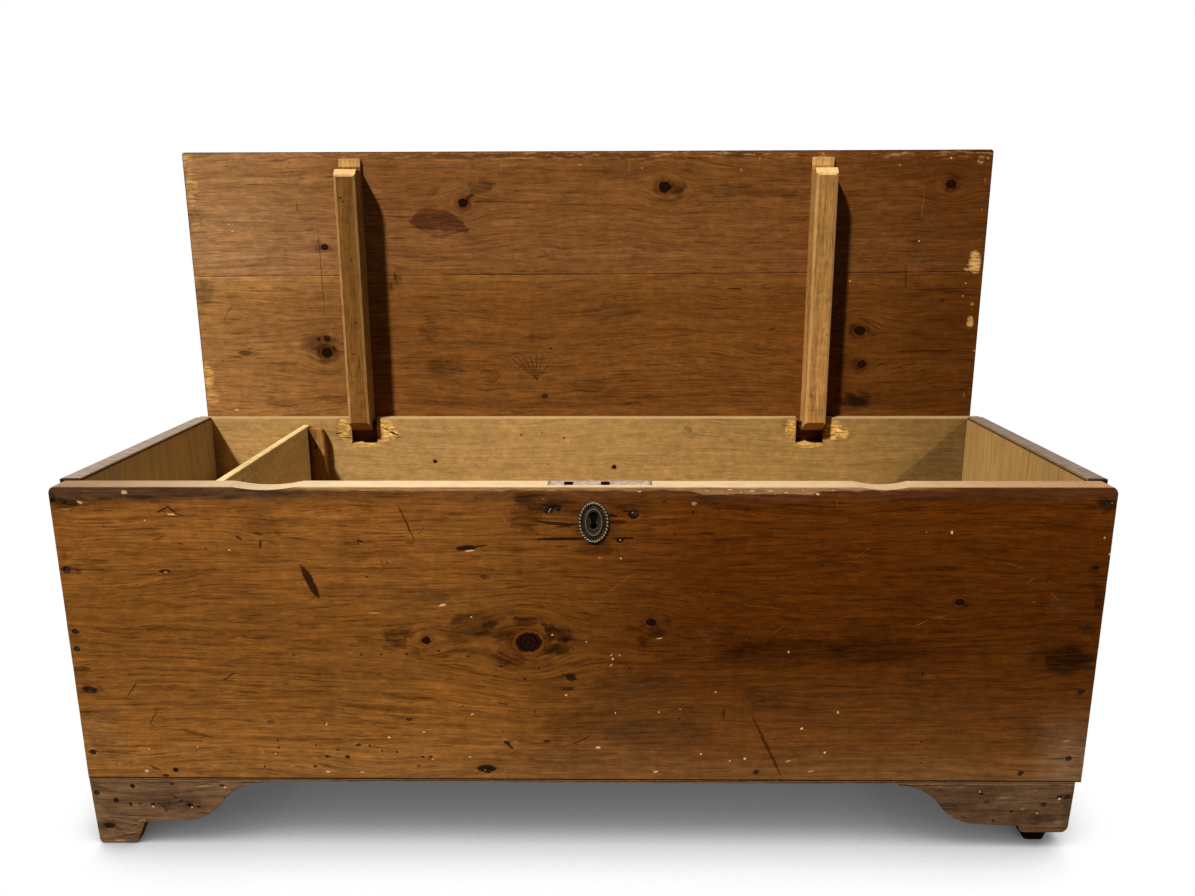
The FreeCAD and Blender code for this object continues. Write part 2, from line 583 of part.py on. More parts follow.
def lock_recess():
    """Shallow rebate for the back plate and the top plate; both run out through the board's faces."""
    x0, x1 = KEY_X - PLATE_LEFT, KEY_X + PLATE_RIGHT
    y1, z1 = FRONT_THICKNESS + 1, RIM_HEIGHT + 1
    back = block(x0, x1, CASE_Y1, y1, RIM_HEIGHT - PLATE_HEIGHT, z1)
    return back.fuse(block(x0, x1, FRONT_THICKNESS - PLATE_TOP_WIDTH, y1, CASE_TOP, z1))


def case_outside():
    return block(CASE_X0, CASE_X1, CASE_Y0, CASE_Y1, CASE_Z0, CASE_TOP)


def slot_holes(z0, z1):
    y0, y1 = SLOT_FROM_FACE - SLOT_WIDTH / 2, SLOT_FROM_FACE + SLOT_WIDTH / 2
    return [block(KEY_X + s - SLOT_LENGTH / 2, KEY_X + s + SLOT_LENGTH / 2, y0, y1, z0, z1)
            for s in SLOT_FROM_KEY]


def lock_plate():
    back, top = plate_spans()
    plate = back.fuse(top).removeSplitter()
    return plate.cut(slot_holes(CASE_TOP - 1, RIM_HEIGHT + 1) + [lock_screw(p) for p in screw_places()])


def lock_case():
    inner = block(CASE_X0 + CASE_WALL, CASE_X1 - CASE_WALL, CASE_Y0 + CASE_WALL, CASE_Y1 + 1,
                  CASE_Z0 + CASE_WALL, CASE_TOP + 1)
    case = case_outside().cut([inner, keyhole(CASE_Y0 - 1, CASE_Y0 + CASE_WALL + 1)])
    channel = block(CASE_X0, CASE_X1, BOLT_Y0 - BOLT_PLAY, BOLT_Y0 + BOLT_THICKNESS + BOLT_PLAY,
                    BOLT_Z0 - BOLT_PLAY, CASE_TOP)
    guides = [block(x, x + GUIDE_LENGTH, CASE_Y0 + CASE_WALL, CASE_Y1, BOLT_Z0 - 2 * GUIDE_LIP,
                    BOLT_Z0 + GUIDE_LIP).cut(channel) for x in GUIDE_X]
    return case.fuse(guides)


def finger(slot):
    """Upright with a nose towards the slot, in (x, z)."""
    tip = KEY_X + slot - SLOT_LENGTH / 2 - BOLT_REST_GAP
    root = tip - FINGER_LENGTH
    z0, z1 = BOLT_Z1 + FINGER_RISE, BOLT_Z1 + FINGER_RISE + FINGER_HEIGHT
    return prism_xz([(root - FINGER_ROOT, BOLT_Z1 - 1), (root, BOLT_Z1 - 1), (root, z0), (tip, z0),
                     (tip, z1, 1), (root - FINGER_ROOT, z1, 1)], BOLT_Y0, BOLT_Y0 + BOLT_THICKNESS)


def bolt_span():
    first = KEY_X + SLOT_FROM_KEY[0] - SLOT_LENGTH / 2 - BOLT_REST_GAP - FINGER_LENGTH - FINGER_ROOT
    return first, GUIDE_X[1] + GUIDE_LENGTH


def lock_bolt():
    x0, x1 = bolt_span()
    bar = block(x0, x1, BOLT_Y0, BOLT_Y0 + BOLT_THICKNESS, BOLT_Z0, BOLT_Z1)
    talon = block(KEY_X - TALON_WIDTH / 2, KEY_X + TALON_WIDTH / 2, BOLT_Y0 - 1,
                  BOLT_Y0 + BOLT_THICKNESS + 1, BOLT_Z0 - 1, BOLT_Z0 + TALON_DEPTH)
    return bar.fuse([finger(s) for s in SLOT_FROM_KEY]).cut(talon).removeSplitter()


def lock_spring():
    """Leaf spring from the case's right wall down onto the bolt."""
    wall = CASE_X1 - CASE_WALL
    tip = GUIDE_X[1] + GUIDE_LENGTH / 2
    z0, t = BOLT_Z1 + BOLT_PLAY, SPRING_THICKNESS
    z1 = (BOLT_Z1 + CASE_TOP) / 2
    return prism_xz([(wall, z1), (wall, z1 + t), (wall - 3 * t, z1 + t), (tip + 3 * t, z0 + t),
                     (tip, z0 + t), (tip, z0), (tip + 3 * t, z0), (wall - 3 * t, z1)],
                    BOLT_Y0, BOLT_Y0 + BOLT_THICKNESS)


def lock_drill_pin():
    return rod(V(KEY_X, DRILL_PIN_RECESS, KEY_Z), Y, DRILL_PIN_RADIUS, CASE_Y1 - DRILL_PIN_RECESS)


def screw_places():
    """Three screws in the plate's margin below the case, one in its right margin."""
    left, right = KEY_X - PLATE_LEFT + SCREW_INSET, KEY_X + PLATE_RIGHT - SCREW_INSET
    low = RIM_HEIGHT - PLATE_HEIGHT + SCREW_INSET
    return [(left, low), ((left + right) / 2, low), (right, low), (right, CASE_TOP - 2 * SCREW_INSET)]


def lock_screw(place):
    """Countersunk wood screw from the back plate into the front board."""
    x, z = place
    face = V(x, FRONT_THICKNESS, z)
    head = Part.makeCone(SCREW_HEAD_RADIUS, SCREW_RADIUS, PLATE_THICKNESS, face, -Y)
    return head.fuse(rod(face, -Y, SCREW_RADIUS, SCREW_LENGTH))


def lock_screws():
    slot = SCREW_HEAD_RADIUS
    return [lock_screw(p).cut(block(p[0] - slot, p[0] + slot, FRONT_THICKNESS - 0.8, FRONT_THICKNESS + 1,
                                    p[1] - 0.5, p[1] + 0.5)) for p in screw_places()]


# ---- Escutcheon --------------------------------------------------------------------------------------
ESC_Z = KEY_Z - ESC_DROP


def esc_pin(end):
    """Small pin in the flat between rim and inner oval, above or below."""
    z = ESC_Z + end * (ESC_HEIGHT / 2 - ESC_RIM + ESC_RING[1] / 2 + ESC_RING_WIDTH) / 2
    return rod(V(KEY_X, -ESC_THICKNESS, z), Y, ESC_PIN_RADIUS, ESC_THICKNESS + CASE_Y0 - ESC_PIN_SHORT)


def escutcheon():
    plate = oval(ESC_WIDTH, ESC_HEIGHT, -ESC_THICKNESS, 0, KEY_X, ESC_Z)
    rim = oval(ESC_WIDTH, ESC_HEIGHT, FRONT_MOST, -ESC_THICKNESS, KEY_X, ESC_Z).cut(
        oval(ESC_WIDTH - 2 * ESC_RIM, ESC_HEIGHT - 2 * ESC_RIM, FRONT_MOST - 1, 0, KEY_X, ESC_Z))
    width, height = ESC_RING
    ring = oval(width, height, -ESC_THICKNESS - ESC_RING_RISE, -ESC_THICKNESS, KEY_X, ESC_Z).cut(
        oval(width - 2 * ESC_RING_WIDTH, height - 2 * ESC_RING_WIDTH, FRONT_MOST - 1, 0, KEY_X, ESC_Z))
    return plate.fuse([rim, ring]).cut([keyhole(FRONT_MOST - 1, 1)] + [esc_pin(s) for s in (-1, 1)])


# ---- All nodes ---------------------------------------------------------------------------------------
def base_strips():
    w = STRIP_WIDTH
    return {"base_strip_front": strip(-END, BASE_RIGHT, 0, w),
            "base_strip_back": strip(-END, BASE_RIGHT, BOX_DEPTH - w, BOX_DEPTH),
            "base_strip_left": strip(-END, -END + w, w, BOX_DEPTH - w),
            "base_strip_right": strip(BASE_RIGHT - w, BASE_RIGHT, w, BOX_DEPTH - w)}


def feet():
    found = {}
    for side, hand in ((-1, "left"), (1, "right")):
        for rear, end in ((False, "front"), (True, "rear")):
            found[f"{end}_bracket_{hand}"] = cross_bracket(side, rear)
            found[f"side_bracket_{end}_{hand}"] = side_bracket(side, rear)
            found[f"corner_block_{end}_{hand}"] = corner_block(side, rear)
    return found


def all_foot_nails():
    return [n for side in (-1, 1) for rear in (False, True) for n in nails(foot_nail_places(side, rear))]


NODES = {
    "front_board": front_board(),
    "back_board": back_board(),
    "left_side_board": side_board(-1),
    "right_side_board": side_board(1),
    "bottom_board": bottom_board(),
    "till_side": till_side(),
    "till_bottom": till_bottom(),
    "till_cleat_back": till_cleat(True),
    "till_cleat_front": till_cleat(False),
    **base_strips(),
    **feet(),
    "lid_front_board": lid_front_board(),
    "lid_rear_board": lid_rear_board(),
    "lid_batten_left": batten(BATTEN_LEFT_X),
    "lid_batten_right": batten(BATTEN_RIGHT_X),
    "hinge_pin_left": hinge_pin(*NOTCHES[0]),
    "hinge_pin_right": hinge_pin(*NOTCHES[1]),
    "lock_plate": lock_plate(),
    "lock_case": lock_case(),
    "lock_bolt": lock_bolt(),
    "lock_spring": lock_spring(),
    "lock_drill_pin": lock_drill_pin(),
    "lock_screws": together(lock_screws()),
    "escutcheon": escutcheon(),
    "escutcheon_pins": together([esc_pin(s) for s in (-1, 1)]),
    "front_nails": together(nails(FRONT_NAIL_PLACES)),
    "back_nails": together(nails(BACK_NAIL_PLACES)),
    "bottom_nails": together(nails(BOTTOM_NAIL_PLACES)),
    "foot_nails": together(all_foot_nails()),
    "batten_nails": together(nails(BATTEN_NAIL_PLACES)),
    "till_nails": together(cleat_nail_set(0, nail) + cleat_nail_set(1, nail)),
}

TO_FRAME = V(0, -(FRONT_MOST + LID_BACK) / 2, 0)
for name, shape in NODES.items():
    shape.translate(TO_FRAME)
    shape.exportStep(f"parts/{name}.step")
print("nodes", len(NODES), "moved to the frame by", round(TO_FRAME.y, 3))
print("hinge axis y, z", round(AXIS_Y + TO_FRAME.y, 3), round(AXIS_Z, 3), "lid top", round(LID_TOP, 2))
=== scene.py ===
# %% [markdown]
# A pine blanket chest from a country workshop: nailed boards, an open lid on two battens, a small till
# inside and a chest lock behind an oval brass plate. The solids come from the CAD frame. This lesson gives
# them the look of wood and metal that has been used for a hundred and fifty years.

# %% Load the frame
import math
import bmesh
import bpy
from mathutils import Matrix, Vector, noise
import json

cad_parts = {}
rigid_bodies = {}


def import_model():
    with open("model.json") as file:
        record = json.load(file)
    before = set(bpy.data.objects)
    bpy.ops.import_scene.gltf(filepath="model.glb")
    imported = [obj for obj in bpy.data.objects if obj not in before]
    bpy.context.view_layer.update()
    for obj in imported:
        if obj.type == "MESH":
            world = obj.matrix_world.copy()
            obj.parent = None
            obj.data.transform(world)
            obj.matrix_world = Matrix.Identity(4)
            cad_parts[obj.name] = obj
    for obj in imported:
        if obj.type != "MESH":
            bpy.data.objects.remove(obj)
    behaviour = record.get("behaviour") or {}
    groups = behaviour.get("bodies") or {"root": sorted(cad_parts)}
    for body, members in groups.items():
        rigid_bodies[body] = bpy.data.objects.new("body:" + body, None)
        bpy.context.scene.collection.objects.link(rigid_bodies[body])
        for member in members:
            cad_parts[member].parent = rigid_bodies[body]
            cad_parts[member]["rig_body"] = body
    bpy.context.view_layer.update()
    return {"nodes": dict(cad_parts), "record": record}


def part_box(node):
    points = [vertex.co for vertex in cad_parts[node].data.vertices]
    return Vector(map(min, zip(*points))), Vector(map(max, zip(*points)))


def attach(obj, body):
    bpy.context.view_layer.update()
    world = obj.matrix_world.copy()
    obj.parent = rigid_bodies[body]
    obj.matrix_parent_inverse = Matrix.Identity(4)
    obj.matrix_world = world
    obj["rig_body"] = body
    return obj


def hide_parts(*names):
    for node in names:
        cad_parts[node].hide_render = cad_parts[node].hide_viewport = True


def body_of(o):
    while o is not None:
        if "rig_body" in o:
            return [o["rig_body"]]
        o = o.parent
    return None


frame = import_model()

MM = 0.001
nodes = frame["nodes"]

# %% [markdown]
# The camera stands a little above the rim and slightly right of the middle, as a person does who looks into
# the open chest. It could be aimed with a constraint, but a matrix made from three directions says exactly
# how it is turned.

# %% The camera
FRAME_WIDE, FOCAL = 1195, 928.7  # pixels
EYE = Vector((31.9, -1185.5, 717.7)) * MM
YAW, PITCH, ROLL = -0.0125, 0.2292, -0.0028
ahead = Vector((math.sin(YAW) * math.cos(PITCH), math.cos(YAW) * math.cos(PITCH), -math.sin(PITCH)))
right = Vector((math.cos(YAW), -math.sin(YAW), 0))
up = right.cross(ahead)
right, up = (math.cos(ROLL) * right + math.sin(ROLL) * up, math.cos(ROLL) * up - math.sin(ROLL) * right)
lens = bpy.data.cameras.new("camera")
lens.sensor_width = 36
lens.lens = 36 * FOCAL / FRAME_WIDE
camera = bpy.data.objects.new("camera", lens)
turn = Matrix((right, up, -ahead)).transposed()
camera.matrix_world = Matrix.Translation(EYE) @ turn.to_4x4()
bpy.context.collection.objects.link(camera)
bpy.context.scene.camera = camera
bpy.context.scene.view_settings.view_transform = "Standard"
print("lens", round(lens.lens, 2), "mm")


# %% [markdown]
# A finish is a tree of nodes. Linking them one by one fills pages, so this small bench puts a node down,
# feeds its sockets and hands back what comes out. Everything later is built from these few steps.

# %% The finish bench
def linear(red, green, blue):
    """An everyday 0-255 colour as the linear numbers that shaders use."""
    return tuple((c / 3294.6 if c <= 10 else ((c / 255 + 0.055) / 1.055) ** 2.4)
                 for c in (red, green, blue)) + (1.0,)


class Finish:
    """One material, and the steps that its recipe is made of."""

    def __init__(self, name):
        self.material = bpy.data.materials.new(name)
        self.material.use_nodes = True
        self.tree = self.material.node_tree
        self.tree.nodes.clear()

    def node(self, kind, feeds=None, out=0, **settings):
        made = self.tree.nodes.new("ShaderNode" + kind)
        for name, value in settings.items():
            setattr(made, name, value)
        for name, value in (feeds or {}).items():
            if isinstance(value, bpy.types.NodeSocket):
                self.tree.links.new(value, made.inputs[name])
            else:
                made.inputs[name].default_value = value
        return made.outputs[out] if made.outputs else made

    def sum(self, do, *values, clamp=False):
        return self.node("Math", dict(enumerate(values)), operation=do, use_clamp=clamp)

    def times(self, *values, **options):
        return self.sum("MULTIPLY", *values, **options)

    def times_add(self, *values, **options):
        return self.sum("MULTIPLY_ADD", *values, **options)

    def three(self, do, *values):
        return self.node("VectorMath", dict(enumerate(values)), int(do == "DOT_PRODUCT"), operation=do)

    def step(self, value, low, high, bottom=0.0, top=1.0):
        return self.node("MapRange", {0: value, 1: low, 2: high, 3: bottom, 4: top},
                         interpolation_type="SMOOTHSTEP")

    def slope(self, value, low, high, bottom=0.0, top=1.0):
        return self.node("MapRange", {0: value, 1: low, 2: high, 3: bottom, 4: top})

    def cloud(self, place, size=1.0, detail=2.0, rough=0.5, twist=0.0, out=0):
        feeds = {"Vector": place, "Scale": 1 / size, "Detail": detail, "Roughness": rough,
                 "Distortion": twist}
        return self.node("TexNoise", feeds, out)

    def stretch(self, place, x, y, z, shift=(0, 0, 0)):
        return self.three("MULTIPLY_ADD", place, (1 / x, 1 / y, 1 / z), shift)

    def mix(self, share, a, b):
        return self.node("Mix", {0: share, 6: a, 7: b}, 2, data_type="RGBA")

    def tint(self, share, colour, factor):
        """Colour times a factor where share is 1."""
        return self.mix(share, colour, self.three("MULTIPLY", colour, factor))

    def paint(self, share, colour, *everyday):
        return self.mix(share, colour, linear(*everyday))

    def shaded(self, share, colour, shade, *everyday):
        """Paint that keeps the light and dark of the wood under it."""
        return self.mix(share, colour, self.three("MULTIPLY", linear(*everyday)[:3], shade))

    def axes(self, place):
        split = self.tree.nodes.new("ShaderNodeSeparateXYZ")
        self.tree.links.new(place, split.inputs[0])
        return split.outputs

    def part(self, value, index):
        return self.node("SeparateColor", {0: value}, index)

    def run(self, value, stops, ease="EASE"):
        """A run of colours: each stop is where it sits, then an everyday colour."""
        made = self.tree.nodes.new("ShaderNodeValToRGB")
        self.tree.links.new(value, made.inputs[0])
        bar = made.color_ramp
        bar.interpolation = ease
        bar.elements[0].position, bar.elements[0].color = stops[0][0], linear(*stops[0][1:])
        bar.elements[1].position, bar.elements[1].color = stops[-1][0], linear(*stops[-1][1:])
        for where, *colour in stops[1:-1]:
            bar.elements.new(where).color = linear(*colour)
        return made.outputs[0]

    def done(self, shader):
        self.node("OutputMaterial", {0: shader})
        return self.material


print("a mid brown is", [round(c, 3) for c in linear(150, 88, 35)])

# %% [markdown]
# Light comes from a window high on the left, with a weaker one on the right, and the white room fills the
# rest, more from behind than from the front. Sun lamps keep their direction everywhere, so the chest looks
# the same from each side.

# %% Windows and room
WINDOWS = (("window_left", (0.40, 0.45, -0.79), 6.2, 4.5, (1, 0.98, 0.94)),
           ("window_right", (-0.85, 0.15, -0.50), 0.55, 18, (1, 1, 1)),
           ("window_behind", (0.25, -0.62, -0.74), 1.2, 20, (1, 1, 1)))
FRONT_OF_ROOM, BACK_OF_ROOM = 0.03, 0.50
for name, travel, strength, softness, colour in WINDOWS:
    sun = bpy.data.lights.new(name, "SUN")
    sun.energy, sun.angle, sun.color = strength, math.radians(softness), colour
    lamp = bpy.data.objects.new(name, sun)
    lamp.rotation_euler = Vector(travel).to_track_quat("-Z", "Y").to_euler()
    bpy.context.collection.objects.link(lamp)


def seen_rays(finish):
    """1 for rays that look at a thing straight or in a reflection, 0 for its light on others."""
    path = finish.tree.nodes.new("ShaderNodeLightPath").outputs
    share = finish.sum("MAXIMUM", path["Is Camera Ray"], path["Is Glossy Ray"])
    return finish.sum("MAXIMUM", share, path["Is Transmission Ray"])


bpy.context.scene.world = bpy.data.worlds.new("room")
bpy.context.scene.world.use_nodes = True
room = Finish.__new__(Finish)
room.tree = bpy.context.scene.world.node_tree
room.tree.nodes.clear()
sky = room.three("DOT_PRODUCT", room.node("TexCoord"), (0, 1, 0))
filling = room.node("Background",
                    {0: (0.97, 0.98, 1, 1), 1: room.step(sky, -0.2, 0.7, FRONT_OF_ROOM, BACK_OF_ROOM)})
backdrop = room.node("Background", {0: (1, 1, 1, 1), 1: 1.0})
room.node("OutputWorld", {0: room.node("MixShader", {0: seen_rays(room), 1: filling, 2: backdrop})})
print("lamps", [w[0] for w in WINDOWS])

# %% [markdown]
# The floor is white to the eye and darkens only where the chest keeps the room's light off it. A lit white
# floor would be simpler, but the windows would throw hard shadows across it.

# %% The floor
floor_mesh = bpy.data.meshes.new("floor")
shape = bmesh.new()
bmesh.ops.create_grid(shape, x_segments=1, y_segments=1, size=6)
shape.to_mesh(floor_mesh)
shape.free()
floor = bpy.data.objects.new("floor", floor_mesh)
bpy.context.collection.objects.link(floor)
paint = Finish("floor_paint")
open_sky = paint.node("AmbientOcclusion", {"Distance": 0.2}, 1, samples=24)
SHADOW = ((0.0, 30), (0.4, 130), (0.75, 255))
shade = paint.run(open_sky, [(where, grey, grey, grey) for where, grey in SHADOW], "LINEAR")
seen = paint.node("Emission", {0: shade, 1: 1.0})
lit = paint.node("BsdfDiffuse", {0: (0.06, 0.06, 0.06, 1)})
floor_mesh.materials.append(paint.done(paint.node("MixShader", {0: seen_rays(paint), 1: lit, 2: seen})))
print("floor shadow stops", len(SHADOW))

# %% [markdown]
# Old pine is not one colour. Rings run along the board, fibres break the varnish into short dark dashes,
# knots push the grain aside, and a century of hands, feet and keys leaves stains, dents and chips. All of
# it is read from the board's own place in millimetres, so the grain runs through the solid and turns the
# corner on every edge.


# %% Marks on a board
def three_ovals_group():
    """The sum for three ovals at a time, as a group of its own, so that a board's tree stays small."""
    group = bpy.data.node_groups.new("three_ovals", "ShaderNodeTree")
    for name in ("Along", "Across", "Long X", "Long Z", "Long shift", "Wide X", "Wide Z", "Wide shift", "Fade",
                 "Firm", "Strength"):
        group.interface.new_socket(name, in_out="INPUT", socket_type="NodeSocketVector")
    group.interface.new_socket("Before", in_out="INPUT", socket_type="NodeSocketFloat")
    group.interface.new_socket("Total", in_out="OUTPUT", socket_type="NodeSocketFloat")
    bench = Finish.__new__(Finish)
    bench.tree = group
    given = group.nodes.new("NodeGroupInput").outputs
    axes = []
    for side in ("Long", "Wide"):
        part = bench.three("MULTIPLY_ADD", given["Along"], given[side + " X"], given[side + " shift"])
        axes.append(bench.three("MULTIPLY_ADD", given["Across"], given[side + " Z"], part))
    reach = bench.three("MULTIPLY_ADD", axes[0], axes[0], bench.three("MULTIPLY", axes[1], axes[1]))
    hill = bench.three("MULTIPLY_ADD", reach, given["Fade"], given["Firm"])
    hill = bench.three("MINIMUM", bench.three("MAXIMUM", hill, (0, 0, 0)), (1, 1, 1))
    share = bench.three("DOT_PRODUCT", hill, given["Strength"])
    group.links.new(bench.sum("ADD", share, given["Before"]), group.nodes.new("NodeGroupOutput").inputs[0])
    return group


THREE_OVALS = three_ovals_group()


def ovals(finish, along, across, rows, firm):
    """Ovals laid on a board. A row is middle along, middle across, half length, half width, turn, strength.
    A firm of 1 is a soft stain, and 2 or more is a mark with a clear edge."""
    total = 0.0
    for first in range(0, len(rows), 3):
        trio = list(rows[first:first + 3])
        trio += [(0, 0, 1, 1, 0, 0)] * (3 - len(trio))
        cos = [math.cos(math.radians(r[4])) for r in trio]
        sin = [math.sin(math.radians(r[4])) for r in trio]
        feeds = {"Along": along, "Across": across, "Before": total, "Strength": [r[5] for r in trio],
                 "Fade": (-firm,) * 3, "Firm": (firm,) * 3}
        for side, cx, cz, half in (("Long", cos, sin, 2), ("Wide", [-v for v in sin], cos, 3)):
            feeds[side + " X"] = [a / r[half] for a, r in zip(cx, trio)]
            feeds[side + " Z"] = [b / r[half] for b, r in zip(cz, trio)]
            feeds[side + " shift"] = [-(r[0] * a + r[1] * b) / r[half] for a, b, r in zip(cx, cz, trio)]
        total = finish.node("Group", feeds, node_tree=THREE_OVALS)
    return finish.sum("MINIMUM", total, 1.0)


def around_knots(finish, along, across, knots):
    """The place across the board, pulled towards each knot, so that lines of grain swing round it."""
    bent = across
    for x, z, radius in knots:
        far = finish.times_add(along, 1 / (4.6 * radius), -x / (4.6 * radius))
        side = finish.sum("SUBTRACT", across, z)
        near = finish.times(side, 1 / (3.6 * radius))
        reach = finish.times_add(far, far, finish.times(near, near))
        pull = finish.sum("DIVIDE", 0.9, finish.times_add(reach, reach, 1.0))
        bent = finish.sum("SUBTRACT", bent, finish.times(side, pull))
    return bent


def draw_knots(f, colour, height, mark_x, mark_z, knots, fine):
    """A knot's dark heart with its own rings, a thin tan edge and a few dark lines round it."""
    for x, z, radius in knots:
        scale = (0.84 / radius, 1 / radius, 0)
        off = f.three("MULTIPLY_ADD", f.node("CombineXYZ", {0: mark_x, 1: mark_z}), scale,
                      (-x * scale[0], -z * scale[1], 0))
        size = f.times_add(fine, 0.55, f.node("VectorMath", {0: off}, 1, operation="LENGTH"))
        size = f.sum("SUBTRACT", size, 0.27)
        waves = f.times_add(f.sum("SINE", f.times(size, 15.0)), 0.5, 0.5)
        collar = f.times(f.step(size, 2.3, 1.3), f.times_add(waves, 0.45, 0.3))
        colour = f.tint(collar, colour, (0.55, 0.40, 0.30))
        edge = f.times(f.step(size, 1.34, 1.24), f.step(size, 1.04, 1.16))
        colour = f.paint(f.times(edge, f.step(fine, 0.3, 0.7, 0.05, 0.5)), colour, 118, 70, 28)
        heart = f.mix(waves, linear(20, 8, 4), linear(38, 17, 8))
        inside = f.step(size, 1.1, 0.96)
        colour = f.mix(inside, colour, heart)
        height = f.times_add(inside, f.times_add(waves, 0.5, -0.5), height)
    return colour, height


print("nodes in the group for three ovals", len(THREE_OVALS.nodes))

# %% [markdown]
# The recipe for pine takes the three directions of a board, a run of colours along it, and the marks found
# on it. A picture of wood would be quicker, but it slides over edges, repeats, and can't follow the grain
# into the end of a board.


# %% The pine recipe
def pine(name, grain, tones, rise=None, knots=(), ink=(), chips=(), stains=(), greys=(), golds=(),
         tone="x", span=(-585, 585), seed=0.0, rings=1.0, fibres=1.0, flecks=0.0, smoke=0.0, dashes=0.0,
         specks=0.5, gloss=0.5, bare=None, face=None, lift=1.0, edge=0.0, edge_colour=(176, 134, 88),
         extra=None):
    """Old pine. grain is the board's length, width and thickness as letters, and tones run along the letter
    tone. rise is a lowest and highest height and a run of shades between them, where 188 changes nothing.
    face is the way that the marked side looks, and bare the colour of the side behind it, which never had
    varnish. edge is how far the arrises are rubbed to edge_colour."""
    f = Finish(name)
    place = f.three("MULTIPLY", f.node("TexCoord", out=3), (1000, 1000, 1000))
    normal = f.node("TexCoord", out=1)
    axis = dict(zip("xyz", f.axes(place)))
    along, across, deep = (axis[letter] for letter in grain)
    trio = lambda value: f.node("CombineXYZ", {0: value, 1: value, 2: value})

    # wandering places: a small wobble for firm marks, a large one for stains
    wobble = f.cloud(place, 5, 2, out=1)
    drift = f.cloud(place, 24, 4, 0.6, out=1)
    mark_x = f.sum("ADD", along, f.times_add(f.part(wobble, 0), 3.4, -1.7))
    mark_z = f.sum("ADD", across, f.times_add(f.part(wobble, 1), 2.2, -1.1))
    stain_x = f.sum("ADD", along, f.times_add(f.part(drift, 0), 60, -30))
    stain_z = f.sum("ADD", across, f.times_add(f.part(drift, 1), 22, -11))
    mx, mz, sx, sz = trio(mark_x), trio(mark_z), trio(stain_x), trio(stain_z)
    marked = facing = 1.0
    if face:
        facing = f.three("DOT_PRODUCT", normal, face)
        marked = f.step(facing, 0.2, 0.6)
    axis["mark x"], axis["mark z"], axis["marked"] = mx, mz, marked

    # rings, fibres and open pores, all swung round the knots
    bent = around_knots(f, along, across, knots)
    board = f.node("CombineXYZ", {0: along, 1: bent, 2: deep})
    sway = f.cloud(f.stretch(board, 380, 90, 60, (seed, 0, 0)), 1, 2)
    swayed = f.times_add(sway, 50.0, bent)
    lines = f.node("CombineXYZ", {0: along, 1: swayed, 2: deep})
    ring = f.cloud(f.stretch(lines, 560, 5.6, 34, (0, seed, seed)), 1, 2.5, 0.62)
    ring = f.step(ring, 0.36, 0.68)
    fibre = f.cloud(f.stretch(lines, 46, 3.3, 6, (seed, 0, 0)), 1, 4, 0.74)
    pores = f.step(f.cloud(f.stretch(lines, 42, 1.9, 3, (0, seed, 3)), 1, 2.5, 0.62), 0.57, 0.65)
    mottle = f.cloud(f.stretch(place, 13, 7, 9, (seed, 0, seed)), 1, 5, 0.68)
    patches = f.cloud(f.stretch(board, 90, 46, 60, (seed, seed, 0)), 1, 4, 0.6)
    broken = f.cloud(f.stretch(board, 19, 3.8, 9, (seed, 5, 0)), 1, 4, 0.65)
    breakup = f.times_add(broken, 2.2, -0.45)

    base = f.run(f.slope(axis[tone], *span), tones)
    if rise:
        low, high, stops = rise
        base = f.three("MULTIPLY", base,
                       f.three("MULTIPLY", f.run(f.slope(axis["z"], low, high), stops), (2, 2, 2)))
    uneven = f.step(patches, 0.35, 0.62, 0.4, 1.25)
    shade = f.times_add(f.times(ring, uneven), -0.30 * rings,
                  1.02 + 0.12 * rings + 0.10 * smoke + 0.06 * flecks)
    shade = f.times(shade, f.times_add(fibre, 1.5 * fibres, 1.0 - 0.75 * fibres))
    shade = f.times(shade, f.times_add(patches, 0.7, 0.65))
    shade = f.times(shade, f.times_add(mottle, 1.0, 0.5))
    colour = f.three("MULTIPLY", base, trio(shade))
    colour = f.tint(f.times(ring, 0.35 * rings), colour, (0.98, 0.88, 0.76))
    if golds:
        colour = f.tint(ovals(f, sx, sz, golds, 1), colour, (1.20, 1.17, 0.9))
    if smoke:
        cloudy = f.cloud(f.stretch(lines, 64, 12, 40, (3, seed, 7)), 1, 5, 0.72)
        colour = f.tint(f.times(f.step(cloudy, 0.50, 0.66), smoke), colour, (0.42, 0.41, 0.46))
    if greys:
        dusty = f.times(ovals(f, sx, sz, greys, 1), f.step(broken, 0.45, 0.66), clamp=True)
        dusty = f.times(dusty, marked)
        dust = f.three("MULTIPLY", linear(126, 98, 66)[:3], trio(shade))
        colour = f.mix(f.times(dusty, 0.7), colour, dust)
    if stains:
        dirty = f.times(ovals(f, sx, sz, stains, 1.5), f.times_add(breakup, 0.8, 0.4), clamp=True)
        colour = f.tint(f.times(dirty, marked), colour, (0.22, 0.21, 0.27))
    colour = f.tint(f.times(pores, 0.62 * fibres), colour, (0.38, 0.31, 0.28))
    height = f.times_add(fibre, 0.16, f.times(ring, -0.16))
    height = f.times_add(pores, -0.45, height)
    if flecks:
        fleck = f.step(f.cloud(f.stretch(lines, 10, 2.2, 3, (2, 8, seed)), 1, 2), 0.63, 0.71)
        fleck = f.times(fleck, f.step(mottle, 0.42, 0.56))
        colour = f.tint(f.times(fleck, flecks), colour, (0.36, 0.26, 0.20))
        height = f.times_add(fleck, -0.5, height)
    if dashes:
        dash = f.step(f.cloud(f.stretch(lines, 8, 0.8, 2, (9, seed, 1)), 1, 1), 0.62, 0.72)
        dash = f.times(dash, f.step(f.cloud(place, 65, 2), 0.36, 0.62))
        colour = f.tint(f.times(dash, dashes), colour, (2.3, 2.3, 2.5))
    colour, height = draw_knots(f, colour, height, mark_x, mark_z, knots, f.part(wobble, 2))

